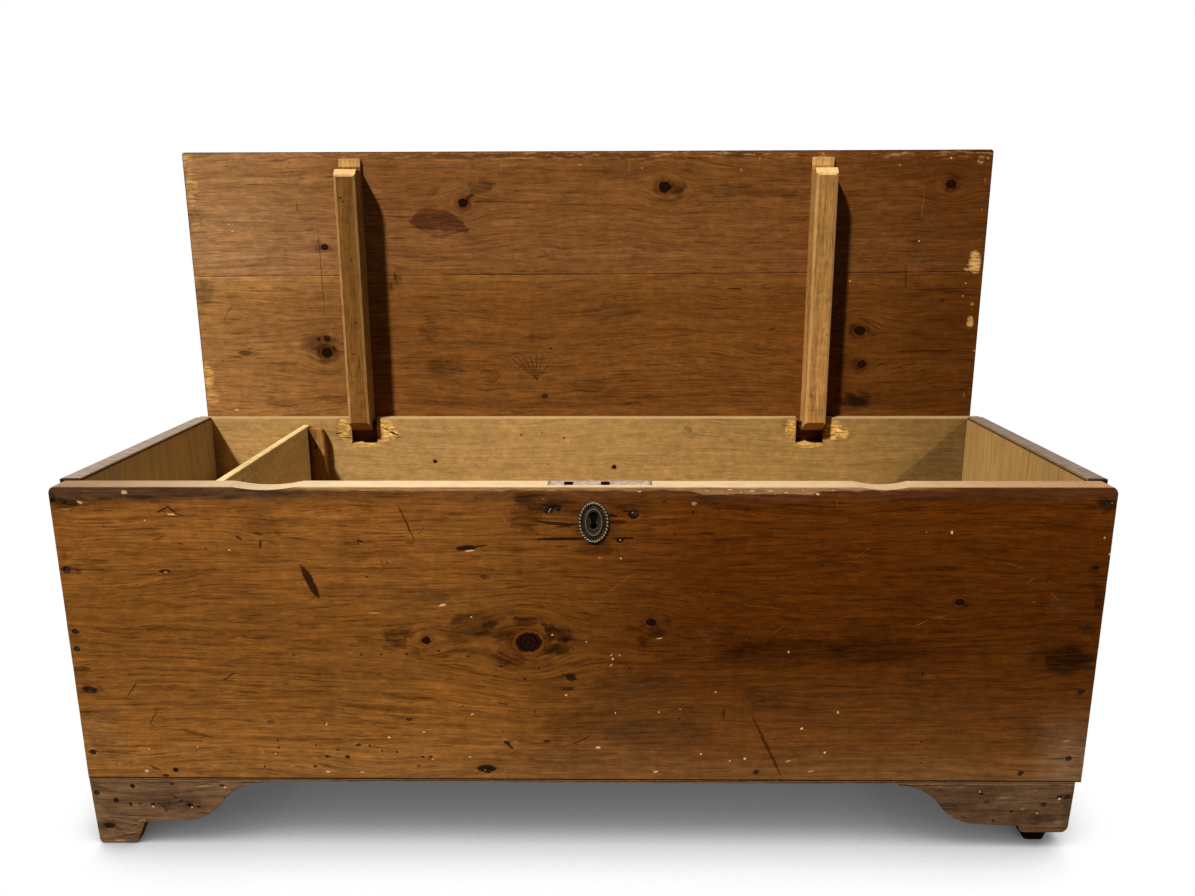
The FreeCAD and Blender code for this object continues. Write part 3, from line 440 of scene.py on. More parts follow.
    # dust in small chips, and worm holes, one to a cell and only in the lucky ones
    cells = f.tree.nodes.new("ShaderNodeTexVoronoi")
    cells.inputs["Scale"].default_value = 1 / 10
    f.tree.links.new(f.three("ADD", place, f.three("MULTIPLY", wobble, (2, 2, 2))), cells.inputs["Vector"])
    lucky, size = f.part(cells.outputs["Color"], 0), f.times_add(f.part(cells.outputs["Color"], 1), 0.9, 0.3)
    spot = f.step(f.sum("DIVIDE", cells.outputs["Distance"], size), 0.085, 0.05)
    patchy = f.cloud(place, 110, 2)
    speck = f.times(spot, f.step(f.times_add(patchy, 0.9, lucky), 1.34, 1.36))
    colour = f.mix(f.times(speck, specks), colour, f.mix(size, linear(232, 212, 184), linear(168, 132, 94)))
    hole = f.times(spot, f.step(f.times_add(patchy, -0.3, lucky), 0.0, -0.02))
    colour = f.paint(f.times(hole, 0.9), colour, 24, 12, 8)
    height = f.times_add(hole, -2.0, height)

    if bare:
        varnish = f.step(f.times_add(broken, 0.12, facing), -0.62, -0.36)
        raw = f.run(f.slope(axis[tone], *span), bare)
        raw_shade = f.times_add(ring, -0.18, 1.08)
        raw_shade = f.times(raw_shade, f.times_add(fibre, 0.34, 0.83))
        raw_shade = f.times(raw_shade, f.times_add(patches, 0.4, 0.8))
        raw = f.three("MULTIPLY", raw, trio(raw_shade))
        raw = f.tint(f.times(pores, 0.35), raw, (0.55, 0.46, 0.40))
        colour = f.mix(varnish, raw, colour)
    if extra:
        colour, height = extra(f, axis, normal, colour, height, broken, trio(shade))
    if ink:
        dark = f.times(ovals(f, mx, mz, ink, 2.2), marked)
        colour = f.paint(f.times(dark, 0.94), colour, 26, 12, 6)
        height = f.times_add(dark, -1.0, height)
    if chips:
        light = f.times(ovals(f, mx, mz, chips, 2.2), marked)
        pale = f.mix(f.step(light, 0.3, 0.7), linear(196, 128, 62), linear(226, 188, 140))
        colour = f.mix(f.times(light, 0.85), colour, pale)
        height = f.times_add(light, -0.5, height)
    if edge:
        flatness = f.sum("ABSOLUTE",
                         f.three("DOT_PRODUCT", normal, tuple(float(l == grain[2]) for l in "xyz")))
        arris = f.times(f.step(flatness, 0.985, 0.86), f.step(flatness, 0.12, 0.3))
        rubbed = f.times(arris, f.times_add(breakup, 1.1, 0.25), clamp=True)
        colour = f.paint(f.times(rubbed, edge), colour, *edge_colour)
    rough = f.times_add(fibre, 0.18, 1.0 - gloss * 0.9)
    rough = f.times_add(broken, 0.2, rough)
    relief = f.node("Bump", {"Strength": 0.5, "Distance": 0.0006 * lift, "Height": height})
    return f.done(f.node("BsdfPrincipled", {"Base Color": colour, "Roughness": rough, "Normal": relief,
                                            "Specular IOR Level": 0.015}))


print("pine recipe ready")

# %% [markdown]
# These are the marks on the front, in millimetres along the board from its middle and up from the floor:
# ink-dark dents, cracks, worm holes and rust, pale chips, smoky stains, grey scuffs and warm patches.

# %% Marks on the front
FRONT_INK = (
    (-575.4, 429.8, 11.1, 4.5, -8, 0.55), (-562.4, 427.5, 10, 3.4, 6, 0.6),
    (-583.6, 434.4, 6.7, 7.9, 0, 0.5), (-548.4, 432.1, 8.9, 2.7, -12, 0.45), (-572, 421.7, 10, 2.3, 4, 0.4),
    (-538.1, 426.4, 6.7, 1.8, 0, 0.3), (-483.9, 434.4, 17.7, 2.3, 0, 0.45),
    (-428.5, 435.6, 24.3, 2.3, 0, 0.4), (-384.5, 433.4, 15.5, 1.8, 0, 0.35),
    (-522.9, 432.1, 11.1, 2.3, 0, 0.5), (-460.6, 419.8, 8.6, 1.3, 30, 0.8),
    (-450.6, 419.8, 6.8, 1.2, -39, 0.85), (-442.3, 414.4, 5.8, 0.9, -13, 0.8),
    (-528, 400.1, 2, 1.3, 0, 0.7), (-444.2, 380.1, 3.4, 1.1, -11, 0.7), (-416.8, 374.6, 1.8, 1.3, 0, 0.7),
    (-483.3, 375.9, 5.2, 0.9, 23, 0.5), (-468.2, 386.5, 10.3, 0.9, 23, 0.55),
    (-378.7, 387.2, 4.5, 1.8, -31, 0.75), (-357.1, 391.9, 6.7, 1.6, -10, 0.7),
    (-355.1, 379.6, 6.1, 1.5, 82, 0.8), (-335.3, 392.5, 4.5, 3, -31, 0.4),
    (-312.5, 386.1, 16, 0.8, -5, 0.75), (-551.3, 349.2, 37.6, 0.9, -1, 0.55),
    (-478.1, 347.9, 46.6, 0.8, -1, 0.5), (-576.5, 349.2, 5.7, 4.7, 0, 0.95),
    (-465.7, 347.6, 7.3, 3, 0, 0.8), (-303.1, 335.3, 24, 5.2, -66, 0.95),
    (-191.1, 403.8, 26.2, 1.1, -68, 0.8), (-174.6, 396.7, 6.7, 0.8, 53, 0.5),
    (-244.1, 383.8, 4.5, 1.6, -16, 0.9), (-246.2, 380.9, 1.1, 2.5, 0, 0.7),
    (-188.6, 381.6, 5.6, 2.3, 0, 0.4), (-126.6, 375.6, 13.3, 3.4, 4, 1), (-110.4, 377.8, 8.4, 1.1, 9, 1),
    (-221, 359.7, 1.2, 1.1, 0, 0.9), (-238.8, 341.9, 1.6, 1.2, 0, 0.9), (-117.3, 421, 1.1, 1.1, 0, 0.8),
    (-113.6, 433.6, 1.5, 1.3, 0, 0.8), (-134.4, 344, 4.5, 3, 0, 0.3), (-106.5, 341.1, 6.2, 3, -8, 0.6),
    (-67.3, 346.5, 4.5, 4.6, 0, 0.35), (-71, 329.7, 18.2, 1.6, 5, 0.45), (-40.1, 331.7, 17.4, 1.1, 2, 0.35),
    (15.4, 409.1, 8.8, 12.4, 0, 1), (-36, 421.1, 7.1, 5.2, -10, 1), (-26.1, 423, 6.6, 2, -5, 0.8),
    (59, 414.7, 6.6, 6.3, 0, 1), (50.7, 418.7, 5, 1.3, -1, 0.9), (-27.9, 404.4, 22.2, 2.2, -5, 0.9),
    (-13.1, 401.9, 15.4, 1.8, 8, 0.8), (-19.9, 386.4, 35.6, 2, 1, 1), (-21.1, 377.2, 8.9, 1.1, 0, 0.6),
    (36.5, 413.3, 6.3, 1.8, -2, 1), (40.9, 405.6, 11.4, 2.5, 3, 0.75), (48.1, 387.1, 14.6, 1.8, 3, 0.9),
    (44.2, 384.7, 4, 3.2, 0, 0.9), (-11, 219.4, 6.7, 5.5, 0, 0.9), (-11.5, 219.6, 12.8, 1.1, -23, 0.7),
    (-15.1, 205.2, 8.1, 2.2, 7, 0.8), (-90.4, 186, 7, 1.5, -13, 0.6), (-53.6, 175.9, 1, 3.9, 0, 0.7),
    (-136.8, 183.2, 1.2, 1.2, 0, 0.8), (-199.7, 165.8, 4.7, 2.4, 0, 0.75),
    (-251.4, 246.8, 1.5, 1.4, 0, 0.9), (-228.4, 247.6, 1.5, 1.4, 0, 0.9), (-198.6, 248.2, 1.8, 1.7, 0, 1),
    (-161.8, 252, 1.8, 1.4, 0, 1), (-128.9, 245.3, 1.6, 1.4, 0, 0.9), (-91.5, 233.1, 2.8, 1.7, 0, 0.9),
    (-64.3, 217.5, 2.1, 2.2, 0, 0.8), (-48, 231.3, 2.3, 1.2, 0, 0.9), (-98.1, 220.2, 3.4, 1.2, 0, 0.5),
    (-298.5, 117.3, 3.8, 1.9, 0, 0.9), (-274.6, 116.9, 3.3, 2.1, 0, 1), (-186.2, 117.3, 1.5, 1.5, 0, 1),
    (-176.8, 117.4, 1.5, 1.5, 0, 1), (-247.8, 131.8, 1.6, 1.6, 0, 1), (-233.5, 124.9, 1.4, 1.5, 0, 1),
    (-217, 123.7, 1.4, 1.5, 0, 1), (-261, 132.6, 3.6, 2, 22, 0.9), (-285.8, 126, 2.6, 1.5, 0, 0.8),
    (-355.7, 138.1, 1.5, 1.6, 0, 0.9), (-355.8, 128.6, 1.5, 1.6, 0, 0.9), (-373.7, 103.7, 1.7, 1.5, 0, 1),
    (-313.6, 104.4, 2.8, 1.8, 0, 0.9), (-311.2, 132.4, 1.4, 1.5, 0, 0.8), (-178.7, 114.7, 1.4, 1.4, 0, 0.9),
    (-191.5, 105.5, 3.5, 1.2, 0, 0.8), (-111.4, 102.5, 13, 5.5, 0, 1), (0, 139.8, 12.7, 1, 26, 0.8),
    (-87, 136, 4.8, 2.7, -33, 0.9), (-82.5, 130.8, 4.1, 2, -38, 0.8), (-40.2, 138, 4.9, 2, 0, 0.8),
    (-91.3, 150.8, 1.5, 1.5, 0, 0.9), (164.7, 174.2, 2.3, 7.9, 0, 0.55),
    (216.3, 132.5, 48.3, 2.1, -65, 0.7), (143.3, 304.6, 1.5, 1.4, 0, 0.9), (104.9, 391.7, 1.8, 1.1, 0, 0.8),
    (92.2, 429.7, 1.7, 1.3, 0, 0.8), (55.5, 230.8, 1.6, 1.4, 0, 0.8), (124.2, 417.5, 1.5, 1.5, 0, 0.9),
    (113.9, 167.7, 1.4, 1.3, 0, 0.7), (142.9, 391.9, 8.9, 1.1, -22, 0.6), (574.9, 427, 5.8, 2.9, 0, 1),
    (570.4, 429, 9.7, 3.3, 0, 0.5), (570.7, 353.5, 4.8, 2.7, 0, 1), (570.4, 280.9, 4.7, 2.6, 0, 1),
    (572.1, 203.5, 4.8, 3.1, 0, 1), (566.8, 119.1, 4.2, 2.7, 0, 1), (561, 118.8, 23.2, 1, 4, 0.6),
    (513.1, 99.7, 3, 2.5, 0, 1), (541.1, 252.9, 2.2, 2.1, 0, 0.9), (389.5, 224.5, 1.4, 3.6, 0, 0.8),
    (392.4, 179.4, 1.1, 1.2, 0, 0.7), (394.4, 152.2, 1.2, 1.2, 0, 0.7), (394.8, 139.4, 1.2, 1.2, 0, 0.7),
    (396.5, 117.8, 1.2, 1.2, 0, 0.7), (396.3, 112.2, 1.2, 1.2, 0, 0.7), (-575.4, 273.8, 3.7, 2.4, 0, 0.9),
    (-577.3, 252.1, 3.9, 2.6, 0, 0.9), (-574.9, 228.4, 12.8, 3.2, 0, 0.6),
    (-568.9, 202.3, 9.3, 4.9, -9, 0.9), (-575.9, 122.5, 5.9, 2.3, 9, 0.8),
    (-518.6, 204, 13.5, 0.9, 54, 0.75), (-405.6, 218.9, 10.3, 1, 34, 0.75),
    (-498.3, 167.5, 13.3, 0.9, 60, 0.65), (-501.8, 157.2, 3.1, 0.8, -36, 0.6),
    (-449.4, 146.1, 19.8, 2.5, -15, 0.5), (-361.7, 161.9, 5.9, 3.7, 22, 0.5),
    (-468.7, 208.4, 4.6, 1, 0, 0.5), (-415.4, 200.6, 3, 0.9, 0, 0.5), (-410.9, 272.3, 6.9, 3.6, 0, 0.3),
    (-328.3, 246.3, 3.5, 1.2, 16, 0.7), (-214.9, 358.3, 1.8, 1.1, 0, 0.6),
    (-222.3, 347.4, 1.5, 0.9, 0, 0.5), (-504.5, 101.4, 7.2, 1.8, -25, 0.7),
    (-532.3, 107.9, 2.4, 1.3, 0, 0.6), (-492.5, 91.5, 4.3, 2, 0, 0.9),
)
FRONT_CHIP = (
    (-568.8, 420.6, 8, 1, -4, 0.45), (-500.9, 439.9, 4, 2.7, 0, 0.7), (-551.6, 428.4, 3.5, 1.4, -21, 0.75),
    (-451.7, 414.7, 4.8, 1.2, -8, 0.85), (-481.4, 407.7, 1.3, 1, 0, 1), (-390.8, 373.1, 1.4, 1, 0, 1),
    (-576.4, 349.7, 1.7, 1.5, 0, 0.6), (-465.4, 346.6, 2.1, 1.2, 0, 0.55),
    (-122.3, 372.6, 7.2, 0.9, 4, 0.75), (-155.5, 308.1, 4.9, 1.4, 9, 0.8),
    (-233.5, 298.3, 8.1, 0.6, 0, 0.6), (-123.5, 293.7, 1.1, 1, 0, 1), (-297, 159.6, 0.9, 2.7, -22, 0.8),
    (-224.9, 142.6, 2.2, 1.2, -22, 1), (-183.6, 149.8, 2.4, 0.9, 0, 1), (-126.3, 172.6, 2.5, 0.9, 5, 0.9),
    (-130.9, 117.6, 2.5, 0.9, -6, 0.8), (-17.4, 197.6, 1.5, 1.2, 0, 1), (19.3, 130.7, 3.5, 1.8, 0, 1),
    (-32.5, 272.3, 1.8, 0.9, 16, 0.9), (-40.2, 432.5, 1.1, 0.7, 0, 0.5), (21.6, 364.7, 1.6, 0.8, 11, 0.55),
    (45.4, 363.8, 1.2, 1.2, 42, 0.8), (6.5, 263.6, 1, 0.9, 0, 0.9), (34.4, 247.7, 1.9, 0.9, 47, 0.8),
    (36.7, 242.7, 1.3, 1.4, 0, 1), (44.6, 247.7, 2.2, 0.8, -32, 0.6), (34.4, 235.3, 1.2, 2.6, -37, 0.55),
    (89.4, 268.2, 3.5, 0.9, 5, 0.7), (236.1, 252, 1.4, 1.2, 0, 1), (89.9, 176.5, 1.5, 0.9, -32, 1),
    (114.1, 180.4, 1.2, 0.9, 0, 0.6), (39.7, 175, 0.9, 1.2, 0, 1), (155, 202, 1, 1, 0, 0.9),
    (255.2, 156.1, 1.7, 1.6, 0, 0.9), (296.1, 176.7, 1.4, 2.2, 22, 0.7), (139.6, 122.7, 1.9, 1.1, 11, 1),
    (191.1, 117, 1.9, 1.4, 0, 1), (240.8, 114.1, 3.1, 0.8, 22, 0.9), (268.8, 100.5, 3.7, 0.8, 9, 0.8),
    (87.3, 99.2, 3.2, 1.2, 11, 1), (283.3, 125.2, 1.4, 1.5, 0, 1), (173.7, 113.8, 1.4, 1.2, 0, 0.8),
    (124.8, 427.4, 3.6, 2.2, 0, 0.5), (409.1, 394.6, 1.4, 2.2, 11, 0.9), (380.9, 394.6, 0.9, 0.8, 0, 0.6),
    (-514.4, 97.8, 2.6, 1.7, -22, 0.85), (-450.6, 129.2, 1, 1.1, 0, 0.8), (-359.7, 120.5, 0.9, 1.1, 0, 0.8),
    (-342, 105.5, 1.1, 0.9, 0, 0.8), (-299.5, 97.8, 2.6, 1.4, 0, 0.9), (-259.3, 97.3, 3.4, 0.9, 4, 0.7),
    (-568.7, 203.9, 1.7, 1.5, 0, 0.6), (-575.3, 274.8, 1.8, 0.9, 0, 0.55),
    (-577.5, 251.1, 1.7, 0.9, 0, 0.5), (-111.5, 100.6, 3.6, 1, 0, 0.9), (-124.5, 99.9, 1.7, 0.7, 0, 0.5),
    (64.8, 441.1, 2.4, 0.8, 0, 0.8), (187.9, 441.9, 3.1, 0.9, 0, 0.9), (176, 440, 1.7, 0.8, 0, 0.8),
    (207.5, 441.7, 3.9, 0.9, 0, 0.9), (224.9, 440.3, 2.4, 0.8, 0, 0.8), (243.3, 442.2, 1.9, 0.8, 0, 0.7),
    (259.8, 438.4, 2.7, 1.4, 0, 0.95), (275.8, 442.7, 1.6, 0.8, 0, 0.7), (138.9, 442.1, 2.4, 0.7, 0, 0.7),
    (163.9, 443.4, 3.9, 0.8, 0, 0.8), (583.9, 369.9, 1.3, 1.9, 0, 0.75), (575.9, 388.4, 1.1, 1.7, 0, 0.6),
    (561.4, 141.4, 6.2, 0.9, 4, 0.5), (579.2, 428.4, 1.1, 0.9, 0, 0.6), (572.4, 205.4, 1.2, 0.9, 0, 0.5),
    (566.9, 118.4, 1.1, 0.9, 0, 0.6), (513.2, 98.9, 1, 0.8, 0, 0.7), (58.4, 417, 1.8, 0.8, 21, 0.6),
    (-33.2, 419.3, 0.9, 3.4, -36, 0.55), (44.6, 385.6, 0.9, 1, 0, 0.9), (506.7, 313.2, 1.6, 0.9, 0, 0.3),
    (-89.2, 140.5, 4.2, 2.2, -11, 0.35), (-76.5, 137.3, 3.4, 1.8, -22, 0.3),
    (-545.3, 107.8, 1.4, 0.9, 0, 0.6), (-508.8, 126.3, 0.9, 2.2, -17, 0.5), (-374.4, 123, 0.9, 1.2, 0, 0.6),
    (-411.7, 119.4, 1, 0.9, 0, 0.5), (-541.9, 315.7, 0.8, 0.9, 0, 0.3), (-174.6, 114.1, 2, 0.9, 0, 0.6),
    (42.6, 333, 24.3, 0.6, 39, 0.2), (-82.7, 408.4, 5.8, 0.7, -85, 0.23), (205.3, 306.6, 26, 0.6, -6, 0.17),
    (224, 279.4, 13.8, 0.5, 38, 0.17), (225.3, 354.1, 3.7, 0.6, 0, 0.17), (383, 287.1, 9.2, 0.6, 29, 0.28),
    (403.1, 295, 10.8, 0.5, 16, 0.23), (281.3, 427.6, 8.1, 0.6, -79, 0.17),
    (312.8, 370.9, 14.2, 0.5, 37, 0.17), (479.7, 356.5, 12.2, 0.5, -17, 0.2),
    (502.8, 339.9, 8.9, 0.6, 30, 0.23), (529.6, 319.7, 8.2, 0.5, -44, 0.2),
    (-505.6, 221.4, 8.7, 0.4, 54, 0.15), (-296.9, 219.3, 6.3, 0.5, 86, 0.17),
    (-307.1, 173.7, 7.7, 0.4, -8, 0.12),
)
FRONT_STAIN = (
    (-529.1, 427.5, 44.4, 7.9, 0, 0.3), (-575.9, 368.1, 9, 10.4, 0, 0.3),
    (542.9, 246.8, 42.8, 18.9, 0, 0.5), (337.1, 252.3, 67.8, 23.6, 0, 0.6),
    (-472.3, 439, 66.3, 6.8, 0, 0.4), (-571.3, 427.5, 20, 9.1, 0, 0.75),
    (-505.9, 435.6, 88.6, 5.6, 0, 0.45), (-358.1, 419.6, 33.2, 5.7, 0, 0.25),
    (-351.9, 401.2, 24.5, 15.9, 0, 0.25), (-58.5, 295.1, 27.1, 8.2, 0, 0.25),
    (-61.3, 416.4, 18.7, 29.2, 0, 0.6), (-46.8, 431.3, 43.8, 11.2, 0, 0.4),
    (-21.7, 422.2, 26.3, 13.4, 0, 0.5), (66.1, 422.3, 28.5, 11.2, 0, 0.45),
    (15.6, 403.9, 33, 29.3, 0, 0.55), (15.5, 376, 24.4, 9.1, 0, 0.4), (-127.6, 282.8, 38.7, 16.5, 11, 0.7),
    (-94.9, 275.5, 27.3, 11.8, 0, 0.5), (-58.7, 288.4, 17, 5.9, 0, 0.75), (-35.8, 283, 11.5, 7, -27, 0.85),
    (-21.2, 272.1, 22.7, 10.6, -9, 0.85), (-28.2, 253.7, 19.4, 8.3, 11, 0.85),
    (-86.6, 244.8, 14, 9.5, -32, 0.5), (-46.7, 238.8, 16.1, 4.8, -16, 0.35),
    (-205.5, 269.1, 17.1, 11.8, 0, 0.75), (-207.3, 256.8, 12.6, 4.8, 0, 0.5),
    (-183.6, 250.7, 11.6, 6, -21, 0.4), (-192.7, 274.1, 11.4, 5.9, 0, 0.4),
    (62.6, 280.8, 11.3, 5.9, 11, 0.55), (89.8, 276, 18.1, 8.2, -11, 0.65), (72.9, 265, 10.2, 9.4, 0, 0.6),
    (102.1, 285.8, 9, 7, 0, 0.5), (226.3, 251.9, 85, 18.9, 4, 0.5), (186.3, 260.4, 45.3, 11.8, 9, 0.35),
    (212.5, 195.9, 34.4, 12, 0, 0.45), (67.7, 204.2, 68.9, 26.5, 0, 0.4),
    (21.7, 163.5, 76.6, 24.4, 0, 0.45), (91.4, 147.1, 69.7, 29.4, 0, 0.4),
    (125.9, 166.4, 34.7, 21.9, 0, 0.3), (-31.2, 115.4, 35.2, 13.6, 0, 0.4),
    (547.1, 239.4, 31.6, 18.9, 0, 0.75), (517.4, 165.5, 27.5, 15.8, 0, 0.45),
    (575.8, 320.5, 10, 25.3, 0, 0.5), (595.7, 142.8, 25.3, 31.7, 0, 0.25),
    (407.4, 248.8, 27.1, 7.1, 0, 0.35), (383.3, 192.8, 16, 48.1, 0, 0.2),
    (-571.9, 224.6, 13.9, 6.1, 0, 0.3), (-567.3, 348, 7.9, 5.8, 0, 0.7), (-567.8, 202, 12.8, 8.6, 0, 0.55),
    (573.9, 427.3, 17.3, 10, 0, 0.65), (570.9, 352.4, 8.8, 6.8, 0, 0.5), (569.4, 279.7, 8.9, 7, 0, 0.5),
    (570.5, 202.2, 9.1, 7.2, 0, 0.45), (-111.4, 101.9, 20, 8.7, 0, 0.5), (-38.2, 421.1, 17.6, 10.1, 0, 0.5),
    (-169.3, 315.3, 24.8, 9.3, 4, 0.35), (-201.7, 343.9, 22.4, 4.6, 0, 0.2),
    (-294.8, 215.5, 18.5, 24.1, 0, 0.25), (-291.8, 175, 17.5, 9.8, 0, 0.35),
    (-446.6, 144.8, 23.5, 7.4, 0, 0.2), (-560.2, 131.3, 16.6, 11.2, 0, 0.45),
    (-553.8, 174, 25.8, 9.9, 0, 0.2), (66.5, 362.1, 44.4, 9.1, 0, 0.2), (137, 431.5, 32.7, 6.7, 0, 0.3),
    (219, 425.8, 65.4, 5.6, 0, 0.2), (403.3, 433.9, 97.5, 5.5, 0, 0.25), (541.4, 409, 27.2, 22.4, 0, 0.15),
    (-128, 203.5, 23.1, 12.1, 0, 0.12), (-256, 190.4, 18.6, 12.2, 0, 0.12),
    (325.1, 115.8, 69.8, 9.9, 0, 0.2), (-273.3, 446, 43.9, 4.5, 0, 0),
)
FRONT_GREY = (
    (-564.5, 144.3, 40.1, 44.8, 0, 0.8), (-533.7, 105.2, 59.5, 12.6, 0, 0.6),
    (-359.4, 161.9, 15.2, 9.8, 0, 0.7), (-570.5, 433.2, 22.2, 4.5, 0, 0.4),
    (-85.9, 134.7, 16.4, 8.6, 0, 0.6), (-25.3, 118.1, 35.2, 17.3, 0, 0.55),
    (44.9, 140.4, 53.6, 36.8, 0, 0.55), (86, 108.1, 70.3, 14.9, 0, 0.5), (209, 104.8, 105.2, 9.9, 0, 0.45),
    (372.7, 101.6, 151.5, 7.4, 0, 0.4), (-273.3, 99.9, 177.5, 7.5, 0, 0.45),
    (555, 136.2, 39.2, 26.9, 0, 0.5), (67.7, 204.2, 34.5, 16.8, 0, 0.35),
    (-169.3, 316.5, 22.6, 10.5, 0, 0.45), (-22.8, 328.8, 33.6, 3.5, 0, 0.2),
    (-143.2, 103.1, 40.1, 11.2, 0, 0.35), (-578.3, 264.4, 9.2, 21.6, 0, 0.25),
    (536.6, 303.7, 22.2, 16.2, 0, 0.2), (-573.2, 214.6, 18.6, 7.3, 0, 0.3),
    (-472.2, 440.1, 110.5, 4.5, 0, 0.35), (508.2, 255.2, 22.5, 9.4, 0, 0.15),
    (135.2, 266.4, 22.6, 23.5, 0, 0.2), (-442.1, 189.7, 35, 12.2, 0, 0.12),
)
FRONT_GOLD = (
    (-128, 203.5, 92.3, 41, 0, 0.55), (-23, 314.4, 67.5, 25.6, 0, 0.4), (-497.8, 313.4, 56.9, 35.3, 0, 0.3),
    (-167.3, 361.7, 67, 16.1, 0, 0.2), (16.2, 266.1, 38.6, 16.5, 0, 0.4),
    (-261.3, 289.7, 68.2, 30.6, 0, 0.2), (134.1, 314.8, 44.8, 11.6, 0, 0.2),
    (-161.1, 240.9, 34.4, 9.5, 0, 0.3), (-406, 202.5, 81.3, 19.5, 0, 0.15),
    (319.7, 205.1, 68.5, 24, 0, 0.2), (456.4, 205.6, 45.5, 21.5, 0, 0.15),
)
FRONT_KNOTS = ((-59.2, 262.9, 12.0), (-175.6, 264.7, 4.4), (79.5, 287.6, 4.8), (424.5, 312.6, 4.4))
print("marks on the front", len(FRONT_INK) + len(FRONT_CHIP) + len(FRONT_STAIN) + len(FRONT_GREY))


# %% [markdown]
# The rim is where the varnish is gone: sleeves and lids have rubbed it to pale wood in the middle,
# grey-brown at the left and pinkish brown at the right. On the front it follows the height with a ragged
# lower edge, and lies a little lower where hands take hold. Below the board a dark line marks the joint
# with the strip.

# %% The worn rim
def worn_rim(f, axis, normal, colour, height, broken, shade):
    x, z = axis["x"], axis["z"]
    place = f.node("CombineXYZ", {0: x, 1: z})
    ragged = f.times_add(broken, 3.4, f.sum("SUBTRACT", z, 1.7))
    ragged = f.times_add(f.cloud(f.stretch(place, 26, 30, 1), 1, 3), 5.0, f.sum("SUBTRACT", ragged, 2.5))
    hands = f.times(f.step(x, 118, 140), f.step(x, 275, 250))
    ragged = f.times_add(hands, 4.0, ragged)
    left = f.step(x, -255, -330)
    smudge = f.times(f.step(ragged, 426, 438), f.times_add(left, 0.6, 0.35))
    smudge = f.times(smudge, f.step(broken, 0.34, 0.56, 0.55, 1.0))
    colour = f.tint(f.times(f.step(ragged, 412, 438), f.step(x, -60, -260, 0.2, 0.7)), colour,
                    (0.58, 0.54, 0.48))
    colour = f.shaded(smudge, colour, shade, 72, 50, 34)
    band = f.times(f.step(ragged, 441.2, 442.8), f.times(f.step(x, -340, -290), f.step(x, 430, 300)))
    colour = f.shaded(f.times(band, 0.85), colour, shade, 150, 112, 72)
    corner = f.step(z, 445.6, 446.5)
    line = f.run(f.slope(x, -585, 585),
                 ((0.24, 130, 104, 82), (0.30, 220, 190, 145), (0.7, 206, 172, 128), (0.8, 134, 96, 62)))
    colour = f.mix(f.times(corner, 0.9), colour, f.three("MULTIPLY", line, shade))
    top = f.step(f.three("DOT_PRODUCT", normal, (0, 0, 1)), 0.25, 0.7)
    rim = f.run(f.slope(x, -585, 585),
                ((0, 124, 96, 70), (0.3, 184, 160, 125), (0.6, 176, 150, 115), (1, 136, 104, 74)))
    rim = f.three("MULTIPLY", rim,
                  f.node("CombineXYZ", {i: f.times_add(broken, 0.5, 0.75) for i in range(3)}))
    colour = f.mix(f.times(top, f.step(z, 430, 432)), colour, rim)
    low = f.times(f.step(ragged, 270, 130, 0, 0.24), f.step(x, -120, 130))
    low = f.times_add(f.step(ragged, 145, 92, 0, 0.46), f.step(x, -500, -300, 0.5, 1.0), low)
    colour = f.shaded(low, colour, shade, 112, 75, 40)
    end = f.times(f.step(x, 515, 560), f.step(ragged, 200, 105))
    colour = f.shaded(f.times(end, 0.45), colour, shade, 118, 92, 68)
    joint = f.step(z, 90.2, 89.2)
    return f.paint(f.times(joint, 0.9), colour, 30, 14, 5), f.times_add(corner, -0.5, height)


front_tones = ((0, 136, 86, 36), (0.3, 136, 86, 36), (0.65, 90, 46, 8), (1, 84, 42, 6))
FRONT_RISE = (80, 450, ((0, 190, 194, 200), (0.5, 162, 160, 152), (1, 184, 182, 180)))
bare_tones = ((0, 180, 140, 85), (1, 180, 140, 85))
front_pine = pine("front_pine", "xzy", front_tones, rise=FRONT_RISE, knots=FRONT_KNOTS, ink=FRONT_INK,
                  chips=FRONT_CHIP, stains=FRONT_STAIN, greys=FRONT_GREY, golds=FRONT_GOLD, bare=bare_tones,
                  face=(0, -1, 0), seed=3.0, gloss=0.55, rings=0.95, fibres=1.1, flecks=0.5, smoke=0.5,
                  dashes=0.3, extra=worn_rim)
print("front_pine nodes", len(front_pine.node_tree.nodes))
